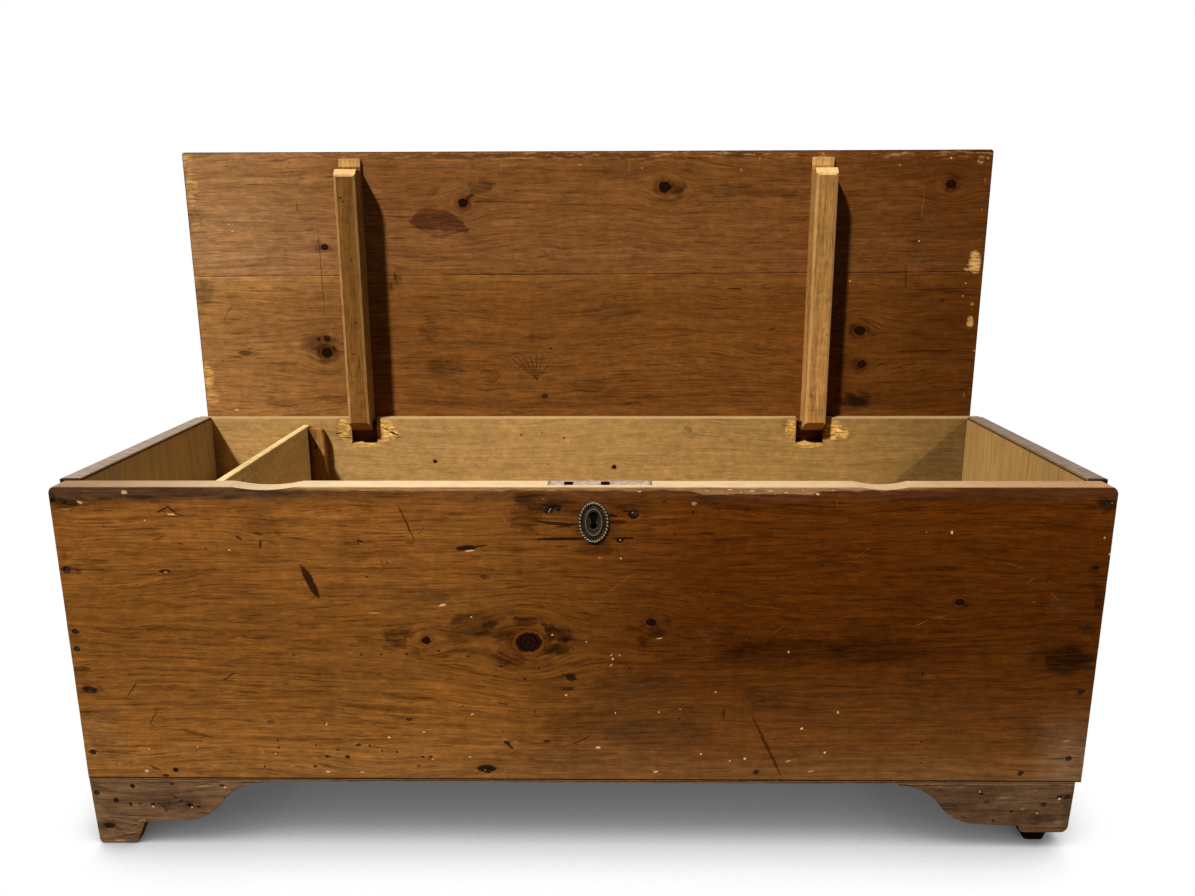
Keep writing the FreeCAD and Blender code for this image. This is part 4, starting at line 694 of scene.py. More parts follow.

# %% [markdown]
# The lid was varnished too. Its two boards took the colour differently, the upper one pinker. A leaf-shaped
# burn, a fan of scratches and the rings of cups are read from rows like those on the front. Its border is
# painted dark.

# %% Marks on the lid
LID_INK = (
    (-381.7, 696.3, 7, 4.9, 0, 1), (-386.8, 563.2, 6.3, 6, 0, 0.9), (-399.5, 561.9, 3.3, 3, 0, 0.9),
    (-388.6, 658, 73.7, 0.9, -89, 0.55), (-402.4, 720.7, 15.6, 0.7, 12, 0.35),
    (-511.5, 542.1, 12, 4.5, 0, 0.6), (-522.6, 536.2, 7.5, 2.1, 0, 0.5), (-503.5, 548.1, 6, 1.5, 0, 0.5),
    (-530.6, 603, 16.2, 1.2, 56, 0.4), (-494.1, 638, 6.6, 1.2, 0, 0.5), (-417.4, 753, 1.7, 8.5, 0, 0.35),
    (-468.4, 463.2, 24.3, 2.4, -8, 0.35), (-483, 470.9, 12.1, 1.8, 10, 0.3),
    (-223.9, 753.1, 11.6, 1.2, -4, 0.5), (-191.4, 715.9, 24.8, 1, 11, 0.6), (-239, 721.7, 16, 1, -31, 0.45),
    (-167.2, 766.8, 7.1, 2.8, 29, 0.7), (-139.4, 759.5, 25.6, 1.5, 1, 0.6),
    (-94.9, 757.9, 33.9, 1, -4, 0.35), (-23.1, 755.3, 48.7, 0.9, -1, 0.3),
    (53.6, 753.7, 39.6, 0.9, -1, 0.35), (-54.4, 548.5, 2.1, 1.9, 0, 0.9),
    (-96.3, 519.1, 31.5, 1.2, -41, 0.5), (-91.8, 519.9, 28.4, 1.2, -49, 0.45),
    (-86.5, 520.6, 25.7, 1.2, -61, 0.5), (-81.3, 521.3, 24.2, 1.2, -75, 0.45),
    (-76.1, 521.3, 23.3, 1.2, -89, 0.5), (-70.9, 519.8, 22.3, 1.2, 76, 0.45),
    (-65, 515.3, 20.5, 1.2, 53, 0.45), (-108.6, 540.2, 10.1, 1, 20, 0.4), (-82.4, 542.4, 20.6, 1, -2, 0.35),
    (-158.7, 511.7, 4.4, 1.2, 52, 0.45), (-147.3, 515.5, 10.4, 1.2, 5, 0.45),
    (-134.7, 511.7, 6.7, 1.2, -51, 0.45), (-135.7, 502.6, 7.4, 1.2, 44, 0.45),
    (-148.5, 498.8, 9.5, 1.2, -5, 0.45), (-64.1, 476.8, 5.1, 4.5, 0, 0.8),
    (5.9, 499.5, 30.2, 1.2, -3, 0.35), (6.6, 490.4, 24.2, 1.2, -4, 0.3), (0.6, 483.6, 20.7, 1.2, -2, 0.3),
    (-281, 653.4, 2.3, 8.7, 10, 0.7), (-287.6, 640.4, 1.8, 5.8, 0, 0.5), (-291.6, 647.7, 1.5, 3.5, 0, 0.5),
    (-234.2, 585.6, 15.7, 1.2, 9, 0.35), (-234, 573, 14.7, 1.2, 7, 0.3), (-237.5, 561.2, 14.7, 1.2, 7, 0.3),
    (-236.6, 596.6, 7.4, 1.5, 10, 0.3), (111.6, 779.1, 5.1, 3.9, 0, 0.95), (518.5, 779.1, 3.4, 4.2, 0, 0.8),
    (404.1, 467.3, 16.4, 8.5, 0, 0.85), (394.6, 476.5, 9, 4.5, 0, 0.7), (507.1, 543.9, 54.2, 1, 1, 0.7),
    (463.6, 651.8, 19.8, 1.2, -85, 0.5), (518.8, 617.6, 4.4, 3.5, 0, 0.5), (516, 633.7, 49.9, 1.2, 3, 0.5),
    (214.8, 635.4, 11.8, 1.5, -2, 0.8), (272.5, 576.7, 6.8, 1.3, 7, 0.7),
    (121.3, 638.9, 50.4, 0.9, -1, 0.25), (-208.1, 821.2, 8.5, 1.4, 0, 0.3),
    (176.3, 717.6, 30.2, 0.7, -59, 0.25), (-568.2, 576.5, 1.5, 1.2, 0, 0.5),
    (-545.7, 530.2, 2.4, 1.5, 0, 0.5), (78.7, 473.6, 15, 1.8, 0, 0.3), (168.2, 500.9, 20.9, 1.2, 0, 0.3),
    (258.3, 482.6, 15, 1.2, 0, 0.3), (3.6, 470.6, 24.1, 1.4, 0, 0.3), (368.2, 704.6, 1.4, 4.3, 0, 0.5),
    (18.6, 482.8, 69.1, 0.9, -3, 0.25), (107.8, 544.4, 68.3, 0.7, 1, 0.25),
    (-206.8, 676.9, 42.1, 0.9, 3, 0.25), (-475.2, 678.3, 31.6, 0.7, 6, 0.25),
    (-118.7, 697.3, 8.7, 1.4, 0, 0.3), (187.5, 619.2, 7.3, 1, 0, 0.3),
)
LID_CHIP = (
    (-518.1, 729.1, 1.7, 1, 0, 0.9), (-514.6, 719.6, 2.1, 1, -29, 0.8), (-467.3, 745.5, 8.5, 0.7, 4, 0.4),
    (-477, 741.3, 3, 0.6, -83, 0.3), (-531.4, 455.6, 4.4, 2.2, 0, 0.6), (-485.4, 531.9, 16.5, 0.7, 8, 0.28),
    (-446.5, 539.1, 16.3, 0.7, 13, 0.25), (61.2, 808.6, 11.9, 0.6, -87, 0.3),
    (23.6, 793, 15.5, 0.6, -72, 0.23), (-122.3, 807.9, 10.7, 0.5, 88, 0.23),
    (-261.1, 786.5, 8.8, 0.5, -77, 0.2), (-134.8, 641.6, 3.6, 0.9, 88, 0.3),
    (42.5, 557.8, 17.6, 0.6, -65, 0.17), (136.1, 523, 15.8, 0.6, 62, 0.17),
    (215.7, 556.1, 11, 0.5, -88, 0.17), (171.4, 520.3, 21.2, 0.5, -87, 0.17),
    (232.2, 595.1, 8.6, 0.6, -30, 0.17), (551.5, 643, 1.7, 1, 0, 0.6), (548.8, 624.3, 1.2, 1.1, 0, 0.5),
    (515.3, 817.2, 1.3, 1.2, 0, 1), (478.9, 702.9, 1.2, 1.2, 0, 1), (383.1, 646.2, 1.2, 1, 0, 0.9),
    (571.9, 544.3, 1.2, 1.1, 0, 0.9), (480.7, 753.9, 22.5, 0.6, 88, 0.25), (567.3, 817, 2, 2, 0, 0.5),
    (565.8, 787.2, 1, 4, 0, 0.3), (565.3, 745.9, 1, 3, 0, 0.35), (564.9, 704, 1, 2, 0, 0.3),
    (562.9, 477.9, 1.3, 4.3, 0, 0.3), (161, 821.2, 30.5, 1.2, 0, 0.3), (-194, 817.1, 30.7, 2, 0, 0.35),
    (-94.3, 819.4, 26.6, 1.6, 0, 0.4), (-9.1, 809.6, 3.1, 1, 0, 0.5), (79, 805.2, 2, 1, 0, 0.5),
    (219.6, 802, 1, 3, 0, 0.5), (245.9, 818.2, 1, 2, 0, 0.5), (444.2, 808, 1, 1, 0, 0.7),
    (-553.8, 707, 1.4, 3.1, 0, 0.4), (-565.7, 818.4, 4.1, 3, 0, 0.5), (-577.1, 620.6, 1.3, 4.2, 0, 0.3),
    (47.9, 749.5, 24.1, 0.5, -10, 0.15), (-133.6, 683.2, 30.8, 0.5, -13, 0.1),
    (118.6, 676.1, 20.6, 0.5, -37, 0.12), (-10.5, 597.6, 30.4, 0.5, -37, 0.12),
    (-194.8, 797.9, 24.8, 0.5, 16, 0.12), (429.3, 767, 21, 0.5, 16, 0.12),
    (196.1, 729.5, 21.7, 0.5, 69, 0.15), (-60, 736.6, 18.4, 0.5, -15, 0.12),
)
LID_STAIN = (
    (-398.1, 555.5, 32.9, 19.4, 0, 0.7), (-388.3, 542.3, 18, 15, 0, 0.5),
    (-382.3, 696.6, 13.1, 8.7, 0, 0.5), (-152.5, 778.5, 22.8, 12.7, 24, 0.6),
    (-177.6, 757.9, 17.3, 11.3, 0, 0.5), (-508.5, 542.1, 21, 7.5, 0, 0.35),
    (-465.3, 464.8, 30.4, 9.2, 0, 0.3), (-385.9, 472.4, 30.3, 7.6, 0, 0.45),
    (-216.1, 519.3, 33, 18, 0, 0.6), (-233.1, 576, 16.3, 19.3, 0, 0.35),
    (-281.4, 646.2, 11.8, 13.1, 0, 0.5), (-146, 507.2, 16.5, 10.5, 0, 0.25),
    (111.6, 779.1, 20, 12.6, 0, 0.5), (129.2, 779, 11.4, 14, 0, 0.6), (230.5, 773.2, 85.5, 9.8, -3, 0.45),
    (162.4, 761, 85.8, 8.4, 0, 0.25), (35.1, 599.1, 47.1, 20.5, 0, 0.3), (518.5, 779.1, 12.7, 12.6, 0, 0.6),
    (401.8, 574, 19.1, 13.2, 0, 0.65), (405.1, 524.7, 13.3, 11.9, 0, 0.5),
    (403.9, 470.4, 26.9, 18.1, 0, 0.6), (385.7, 500.7, 17.8, 59.9, 0, 0.25),
    (507.1, 543.9, 53.1, 4.4, 0, 0.35), (514.6, 634.5, 49.3, 5.8, 0, 0.35),
    (-562.4, 635.2, 14.8, 23.5, 0, 0.45), (-566.5, 739.5, 7.3, 11.5, 0, 0.4),
    (3.7, 493.4, 36, 12.1, 0, 0.25), (90.4, 802.4, 113.7, 11.1, 0, 0.12),
    (48.7, 478.2, 105.1, 15.1, 0, 0.2), (198.6, 478.1, 74.9, 15.1, 0, 0.2),
    (-132.2, 463, 181.2, 9.1, 0, 0.25), (468.1, 470.3, 89.6, 18.1, 0, 0.25),
    (-64.1, 476.8, 12, 7.6, 0, 0.35), (-85.3, 562.8, 11.9, 8.9, 0, 0.35), (-365.7, 810.9, 57.2, 8.4, 0, 0),
    (5.2, 821.8, 368.9, 3.6, 0, 0.5), (-271, 706.2, 20.4, 86.1, 0, 0.1), (519.4, 574.9, 58.6, 29.4, 0, 0.2),
    (-215, 470.7, 36.2, 12.2, 0, 0.2), (-444.8, 718, 58.2, 5.7, 4, 0.15),
    (-409.7, 797.3, 11.5, 14.1, 0, 0.15),
)
LID_GREY = (
    (-416.6, 706.6, 87.5, 14.4, 3, 0.3), (35.1, 599.1, 50.1, 22, 0, 0.5), (19.1, 682.8, 174.3, 23, 0, 0.35),
    (-485.8, 749, 58, 42.8, 0, 0.3), (-523.8, 489.3, 45.4, 36.5, 0, 0.4),
    (-165.8, 810.1, 114.1, 12.6, 0, 0.4), (-221, 508.7, 45, 18.1, 0, 0.2),
    (497.4, 668.9, 49.1, 20.1, 0, 0.3), (-464.8, 470.9, 60.7, 18.3, 0, 0.25),
    (105.4, 740.3, 86.2, 14.1, 0, 0.15),
)
LID_GOLD = (
    (-481.1, 635, 73.8, 29.3, 0, 0.45), (-503.5, 713.9, 58.3, 20.1, 0, 0.4),
    (-69.5, 605.1, 58.9, 20.5, 0, 0.2), (-25.8, 553.5, 59.4, 17.8, 0, 0.25),
    (-408.7, 811, 85.9, 14, 0, 0.2), (111.5, 791.4, 18.5, 4.2, 0, 0.6), (111.8, 766.7, 18.6, 4.2, 0, 0.5),
    (439.5, 773.9, 42.6, 14, 0, 0.2), (164.2, 676.8, 87, 14.4, 0, 0.2), (-156.1, 663.2, 87.7, 11.6, 0, 0.2),
    (-426.8, 762.8, 43.3, 17, 0, 0.2),
)
LID_LEAF = (
    (-226.1, 735.7, 23.1, 17.1, -8, 1), (-204.5, 732.8, 21.6, 15.7, -17, 1),
    (-188.8, 727.2, 15.8, 10, -25, 1), (-177.5, 721.5, 8.6, 5, -27, 1), (-240.7, 732.9, 11.6, 12.8, 0, 1),
    (-249.4, 731.5, 7.2, 4.3, 0, 0.8), (-212.6, 711.7, 14.5, 2.9, 0, 0.5),
)
LID_WORN = (
    (561.9, 673, 10.1, 18.6, 8, 1), (552.6, 664.5, 7.2, 5.7, 0, 0.6), (562.3, 586.5, 5.8, 10.3, 0, 0.6),
    (563.2, 609.8, 3.5, 5.8, 0, 0.5), (-570.3, 509.1, 10.6, 24.3, 0, 0.9),
    (-567.7, 474, 12.2, 12.2, 0, 0.7), (-567, 777.1, 10.1, 34, 0, 0.8), (-566.2, 728.2, 7.3, 17.2, 0, 0.5),
    (-574.3, 818.4, 7.2, 11.2, 0, 0.7), (557.7, 814.4, 5.6, 6.9, 0, 0.4),
)
LID_KNOTS = ((-388.3, 542.3, 7.2), (-177.6, 757.9, 6.0), (111.6, 779.1, 7.4), (518.3, 781.4, 6.4),
             (401.8, 574.0, 7.0), (407.4, 524.6, 5.6))


def lid_border(f, axis, normal, colour, height, broken, shade):
    x, z = axis["x"], axis["z"]
    leaf = ovals(f, axis["mark x"], axis["mark z"], LID_LEAF, 3)
    leaf = f.times(leaf, axis["marked"])
    colour = f.tint(f.times(leaf, f.times_add(broken, 0.5, 0.6)), colour, (0.40, 0.33, 0.48))
    rubbed = f.times(ovals(f, axis["mark x"], axis["mark z"], LID_WORN, 1.5), f.step(broken, 0.44, 0.54))
    rubbed = f.times(rubbed, axis["marked"])
    colour = f.shaded(f.times(rubbed, 0.9), colour, shade, 206, 162, 96)
    seam = f.sum("SUBTRACT", z, f.times_add(x, -4.5 / 1152, 656.5))
    colour = f.mix(f.step(seam, -0.6, 0.6), f.three("MULTIPLY", colour, (1.05, 1.0, 0.84)),
                   f.three("MULTIPLY", colour, (1.0, 0.96, 0.98)))
    near_seam = f.step(f.sum("ABSOLUTE", seam), 1.3, 0.5)
    colour = f.tint(f.times(near_seam, 0.25), colour, (0.5, 0.42, 0.36))
    top = f.times(f.step(z, 812, 826), f.step(broken, 0.52, 0.62))
    colour = f.shaded(f.times(top, 0.45), colour, shade, 186, 140, 92)
    ends = f.sum("MAXIMUM", f.step(x, -575.2, -575.8), f.step(x, 573.2, 573.8))
    border = f.sum("MAXIMUM", f.step(z, 826.9, 827.5), ends)
    return f.paint(f.times(border, 0.75), colour, 52, 30, 16), height


# The tones fall from pale at the left end to dark at the right. Besides the boards' own tone this is painted
# light: the pale left end stands for the window's sheen on the varnish, and the dark right end is painted
# shade.
lid_tones_and_painted_light = ((0, 166, 120, 72), (0.3, 128, 82, 38), (0.65, 120, 75, 32), (1, 90, 50, 15))
LID_RISE = (404, 829, ((0.5, 168, 168, 170), (0.6, 184, 190, 204), (1, 178, 180, 184)))
lid_pine = pine("lid_pine", "xzy", lid_tones_and_painted_light, rise=LID_RISE, knots=LID_KNOTS, ink=LID_INK, chips=LID_CHIP,
                stains=LID_STAIN, greys=LID_GREY, golds=LID_GOLD, face=(0, -1, 0), seed=11.0, gloss=0.5,
                rings=0.8, flecks=0.3, smoke=0.3, dashes=0.15, specks=0.25, lift=0.6, extra=lid_border)
print("lid_pine nodes", len(lid_pine.node_tree.nodes))

# %% [markdown]
# Inside, the boards never had varnish and have gone the colour of straw. The two notches in the back were
# chopped out later, so the wood round them is fresh and yellow, with splits. A grey triangle of painted
# shadow lies at the right end, where the right end board keeps the right window's light off the back, and
# painted shade darkens the lower left corner. The sawn ends are stained dark.

# %% The back board
CHOPPED = ((-364, 430, 10, 20, 0, 1), (-304, 430, 15, 20, 0, 1), (-290, 424, 8, 12, 0, 0.8),
           (-330, 405, 22, 4, 0, 0.7), (303, 430, 9, 20, 0, 1), (366, 429, 14, 18, 0, 1),
           (382, 423, 8, 9, 0, 0.7), (330, 405, 24, 4, 0, 0.8))
SPLITS = ((-372, 424, 7, 0.8, 5, 1), (-362, 417, 9, 0.9, -4, 0.9), (-303, 431, 7, 1.2, -30, 0.9),
          (-290, 424, 8, 1.5, -20, 1), (-284, 418, 9, 0.9, 5, 0.8), (-310, 420, 5, 1, 40, 0.7),
          (296, 436, 8, 0.8, 0, 0.8), (302, 420, 8, 0.7, -8, 0.7), (364, 421, 9, 0.8, 6, 0.9),
          (380, 430, 8, 0.8, -10, 0.7), (372, 412, 9, 0.7, 0, 0.6), (-99.4, 421.6, 2.4, 1.8, 0, 0.8),
          (-67.9, 424.6, 2, 1.6, 0, 0.7), (-35.1, 417, 2.4, 1.6, 0, 0.7), (150, 430, 9, 4, -30, 0.35),
          (-420, 434, 14, 1.4, -3, 0.5), (-250, 400, 40, 0.8, 1, 0.3))
TICKS = ((83, 366, 1, 3, 30, 0.5), (106, 382, 1, 3, 20, 0.5), (119, 366, 1, 4, 35, 0.5),
         (132, 357, 1, 3, 30, 0.5), (6, 368, 3, 0.8, 0, 0.5), (-210, 388, 3, 0.8, 8, 0.5),
         (240, 395, 4, 0.8, -5, 0.5))


def chopped_notches(f, axis, normal, colour, height, broken, shade):
    x, z = axis["x"], axis["z"]
    rows = lambda marks, firm: ovals(f, f.node("CombineXYZ", {0: x, 1: x, 2: x}),
                                     f.node("CombineXYZ", {0: z, 1: z, 2: z}), marks, firm)
    fresh = f.times(rows(CHOPPED, 2), f.times_add(f.step(broken, 0.36, 0.56), 0.75, 0.25))
    fresh = f.times(fresh, axis["marked"])
    torn = f.cloud(f.stretch(f.node("CombineXYZ", {0: x, 1: z}), 9, 2.6, 1), 1, 3, 0.7)
    yellow = f.run(torn,
                   ((0.28, 120, 72, 22), (0.42, 186, 134, 62), (0.54, 230, 182, 96), (0.64, 250, 212, 128)))
    colour = f.mix(fresh, colour, yellow)
    height = f.times_add(f.times(fresh, torn), 5.0, height)
    inside = f.three("DOT_PRODUCT", normal, (0, -1, 0))
    outside = f.step(inside, -0.4, -0.7)
    colour = f.shaded(outside, colour, shade, 104, 72, 42)
    # painted shade: the lower left corner, where the back meets the left end board, is tinted dark grey
    corner = f.times(f.step(x, -538, -561), f.times(f.step(z, 447, 395), axis["marked"]))
    colour = f.tint(f.times(corner, 0.85), colour, (0.38, 0.38, 0.40))
    # painted shadow: a grey triangle at the lower right, cast by the right end board in the right window's
    # light
    painted_shadow = f.times_add(x, -0.967, f.times_add(broken, 5.0, z))
    colour = f.tint(f.times(f.step(painted_shadow, -92.0, -97.0), axis["marked"]), colour, (0.66, 0.66, 0.66))
    ends = f.step(f.sum("ABSOLUTE", f.part(normal, 0)), 0.4, 0.8)
    colour = f.shaded(ends, colour, shade, 104, 62, 28)
    return f.paint(f.times(f.step(z, 445.4, 446.4), 0.6), colour, 150, 124, 92), height


# The last stops darken the right end: painted shade that deepens towards the right corner.
back_pine = pine("back_pine", "xzy",
                 ((0, 164, 130, 78), (0.4, 172, 133, 78), (0.75, 156, 120, 66), (1, 116, 88, 48)),
                 ink=SPLITS, chips=TICKS, face=(0, -1, 0), seed=21.0, gloss=0.2, rings=0.5, fibres=0.5,
                 specks=0.25, lift=0.7, knots=((40, 372, 3.0), (-230, 381, 2.4)), extra=chopped_notches)


# %% [markdown]
# The end boards stand upright, so their grain does too. They are varnished outside and bare inside, and
# their tops are pale with dust and wear, with a dark line along the inner arris.

# %% The end boards
def end_top(sign, pale, marks):
    def finish_top(f, axis, normal, colour, height, broken, shade):
        x, y, z = axis["x"], axis["y"], axis["z"]
        up_side = f.step(f.three("DOT_PRODUCT", normal, (0, 0, 1)), 0.3, 0.8)
        dusty = f.three("MULTIPLY", linear(*pale)[:3], shade)
        colour = f.mix(f.times(up_side, f.step(z, 440, 446)), colour, dusty)
        inner = f.times(f.step(f.times(x, -sign), -565.0, -563.4), f.step(z, 444.5, 446.5))
        colour = f.paint(f.times(inner, 0.85), colour, 46, 25, 8)
        found = f.times(ovals(f, axis["mark x"], axis["mark z"], marks, 1.5), 0.8)
        colour = f.tint(found, colour, (0.34, 0.26, 0.2))
        # painted shade: a near-black band along the front end of the top, for the shadowed joint where it
        # rises above the front board's rim
        end = f.times(f.step(y, -180.5, -182.5), f.step(z, 430, 440))
        return f.paint(f.times(end, 0.9), colour, 22, 12, 8), height
    return finish_top


LEFT_MARKS = ((366, 393.6, 3, 4, 0, 0.5), (338, 382, 2, 7, 0, 0.7), (252, 395, 2.4, 6, 8, 0.6),
              (-60, 410, 3, 3, 0, 0.5))
RIGHT_MARKS = ((398, -40.6, 52, 0.9, 0, 0.9), (420, 60, 26, 5, 0, 0.25), (430, -120, 20, 4, 0, 0.25),
               (405, 20, 3, 2, 0, 0.5))
varnished_end = ((0, 96, 56, 24), (1, 104, 62, 28))
left_pine = pine("left_pine", "zyx", varnished_end, tone="y", span=(-186, 170),
                 bare=((0, 148, 123, 74), (1, 138, 112, 67)), face=(-1, 0, 0), seed=31.0, gloss=0.3,
                 smoke=0.4, specks=0.3, edge=0.5, fibres=0.5, extra=end_top(-1, (122, 108, 96), LEFT_MARKS))
right_pine = pine("right_pine", "zyx", varnished_end, tone="y", span=(-186, 170),
                  bare=((0, 158, 126, 74), (1, 164, 130, 75)), face=(1, 0, 0), seed=37.0, gloss=0.3,
                  smoke=0.4, specks=0.3, edge=0.5, fibres=0.5, extra=end_top(1, (106, 92, 80), RIGHT_MARKS))


# %% [markdown]
# The till is a thinner, paler board on two cleats. Its top has stayed cream because the till's lid covered
# it.

# %% The till
def till_top(f, axis, normal, colour, height, broken, shade):
    up_side = f.step(f.three("DOT_PRODUCT", normal, (0, 0, 1)), 0.3, 0.8)
    return f.shaded(up_side, colour, shade, 188, 163, 112), height


till_pine = pine("till_pine", "yzx", ((0, 198, 162, 94), (1, 186, 150, 86)), tone="z", span=(300, 440),
                 seed=41.0, gloss=0.2, rings=0.3, fibres=0.3, specks=0.2, lift=0.6, extra=till_top)
# The dark first stop is painted shade, for the shadowed gap beside the till side.
cleat_pine = pine("cleat_pine", "zxy",
                  ((0, 60, 34, 16), (0.2, 122, 86, 44), (0.8, 156, 112, 60), (1, 96, 62, 32)),
                  span=(-415, -388), ink=((407, -404, 5, 2.4, 0, 0.9),), seed=43.0, gloss=0.2, rings=1.2)


# %% [markdown]
# The battens are newer than the lid. Planed arrises catch the light, and a scribed line marks the right one
# near its foot. The left one is browner.

# %% The battens
BATTEN_MARKS = ((461.3, 335.3, 0.5, 14.6, 0, 0.7), (764, -344, 1.4, 3.4, 0, 0.9),
                (759, -340.5, 1.1, 2.4, 0, 0.8), (631.4, 330.5, 0.9, 2.6, 0, 0.5),
                (571.7, 345, 2.0, 1.2, 0, 0.7), (679, -334, 2.4, 1.6, 5, 0.6), (590, -333, 3, 2, 0, 0.4),
                (532, -331, 9, 1.2, 8, 0.5), (545, -338, 2, 4, 0, 0.4), (503, -342, 1.6, 1.4, 0, 0.6))


def batten_ends(f, axis, normal, colour, height, broken, shade):
    z = axis["z"]
    up_side = f.step(f.three("DOT_PRODUCT", normal, (0, 0, 1)), 0.15, 0.55)
    colour = f.tint(f.step(z, 660, 480), colour, (1.22, 1.22, 1.25))
    tongue = f.times(f.step(z, 807, 809), 0.75)
    colour = f.shaded(tongue, colour, shade, 196, 154, 96)
    colour = f.shaded(up_side, colour, shade, 214, 180, 126)
    # painted shade: below about 433 mm the batten's end sits in its notch and is darkened as in shadow
    return f.tint(f.step(z, 436, 430), colour, (0.55, 0.46, 0.34)), height


batten_pine = pine("batten_pine", "zxy",
                   ((0, 116, 78, 34), (0.45, 116, 78, 34), (0.55, 150, 108, 56), (1, 152, 110, 58)),
                   span=(-360, 360), ink=BATTEN_MARKS, seed=61.0, gloss=0.3, rings=0.9, fibres=1.0,
                   specks=0.15, edge=0.8, edge_colour=(186, 144, 92), extra=batten_ends)

# %% [markdown]
# The feet and the strips take the kicks. Their toes are grey with floor dirt, the middle is redder, and the
# arris of the curve is rubbed pale in places. The strips are dark in their joints.

# %% The feet
FOOT_MARKS = ((-534.0, 77.4, 3.4, 3, 0, 1), (-486, 80, 2.4, 1.6, 0, 0.9), (-427, 78.5, 3.6, 2, 0, 0.8),
              (-539, 53, 2, 3, 20, 0.9), (-527, 53.5, 2.4, 1.4, 0, 0.8), (-512, 53, 3, 2, 0, 1),
              (-484, 62, 3, 1.4, 0, 0.8), (-478, 58, 2.4, 1.6, 0, 0.8), (-468, 52.5, 4.6, 3, 0, 1),
              (-457, 50, 3.2, 1.6, 0, 0.9), (-498, 47, 1, 6, 25, 0.7), (-492, 56, 3, 1.2, 0, 0.6),
              (-568, 24, 8, 4, 0, 0.95), (-556, 18, 6, 1, -5, 0.7), (-545, 12, 9, 0.9, 8, 0.7),
              (-560, 8, 12, 1, 4, 0.6), (-538, 24, 6, 0.9, 20, 0.5), (562, 68, 3.6, 3, 0, 1),
              (470, 72, 3, 2, 0, 0.8), (507, 48.5, 2, 1.8, 0, 1), (487, 36, 2.4, 2, 0, 0.8),
              (440, 56, 3, 1.4, 0, 0.7), (420, 76, 6, 1.2, 25, 0.4), (535, 46, 7, 1, 20, 0.5),
              (478, 62, 4, 3, 0, 0.5), (452, 40, 5, 1.2, -10, 0.5))
FOOT_CHIPS = ((-424, 76, 2, 1.4, 0, 0.7), (-512, 50, 1.4, 2, 0, 0.6), (-466, 49, 1.6, 1.6, 0, 0.6),
              (562, 66, 2, 1.6, 0, 0.7), (-528, 32, 6, 1.2, 20, 0.4), (520, 52, 2, 1.4, 0, 0.4),
              (468, 75, 1.6, 1.4, 0, 0.6), (538, 47, 2.4, 1, 0, 0.6), (421, 52, 5, 1.2, -45, 0.5),
              (-449, 77.5, 8, 0.9, 0, 0.5), (-395, 80.5, 5, 1, 0, 0.5), (-545, 14, 9, 0.8, 8, 0.45),
              (-558, 4, 8, 1, 0, 0.5))
FOOT_STAINS = ((-500, 60, 60, 16, 0, 0.45), (-470, 50, 40, 10, 0, 0.35), (-570, 24, 14, 9, 0, 0.6),
               (-540, 8, 30, 9, 0, 0.5), (440, 60, 40, 14, 0, 0.35), (530, 40, 40, 9, 0, 0.45),
               (572, 60, 10, 24, 0, 0.5), (460, 76, 60, 6, 0, 0.3), (-560, 50, 16, 14, 0, 0.3))
FOOT_GREYS = ((-556, 12, 32, 14, 0, 0.9), (-575, 50, 10, 40, 0, 0.5), (505, 66, 26, 10, 0, 1),
              (-410, 74, 26, 6, 0, 0.6), (560, 30, 30, 8, 0, 0.6), (400, 74, 20, 8, 0, 0.4),
              (-500, 82, 90, 3, 0, 0.7), (480, 82, 90, 3, 0, 0.6))


def joints(f, axis, normal, colour, height, broken, shade):
    z = axis["z"]
    joint = f.sum("MAXIMUM", f.times(f.step(z, 82.2, 83.2), f.step(z, 84.8, 84.3)), f.step(z, 85.7, 86.2))
    strip = f.times(f.step(z, 83.9, 84.2), f.step(z, 88, 87.8))
    colour = f.shaded(f.times(strip, 0.45), colour, shade, 140, 108, 78)
    return f.paint(f.times(joint, 0.95), colour, 26, 13, 6), height


foot_pine = pine("foot_pine", "xzy", ((0, 108, 80, 54), (0.5, 94, 66, 42), (1, 88, 64, 43)), ink=FOOT_MARKS,
                 chips=FOOT_CHIPS, stains=FOOT_STAINS, greys=FOOT_GREYS, seed=51.0, gloss=0.35, flecks=0.6,
                 smoke=0.5, dashes=0.3, specks=0.7, edge=0.75, edge_colour=(136, 104, 72), extra=joints)
block_pine = pine("block_pine", "zxy", ((0, 62, 40, 20), (1, 58, 36, 18)), ink=(), seed=71.0, gloss=0.2,
                  smoke=0.7, specks=0.9)
print("looks for wood", sorted(m.name for m in bpy.data.materials if m.name.endswith("_pine")))


# %% [markdown]
# Iron on an old chest is nearly black, with rust in the low places. The lock's top plate is rubbed to grey
# where the lid's hasp slides, and the brass has gone almost black except on what stands proud.

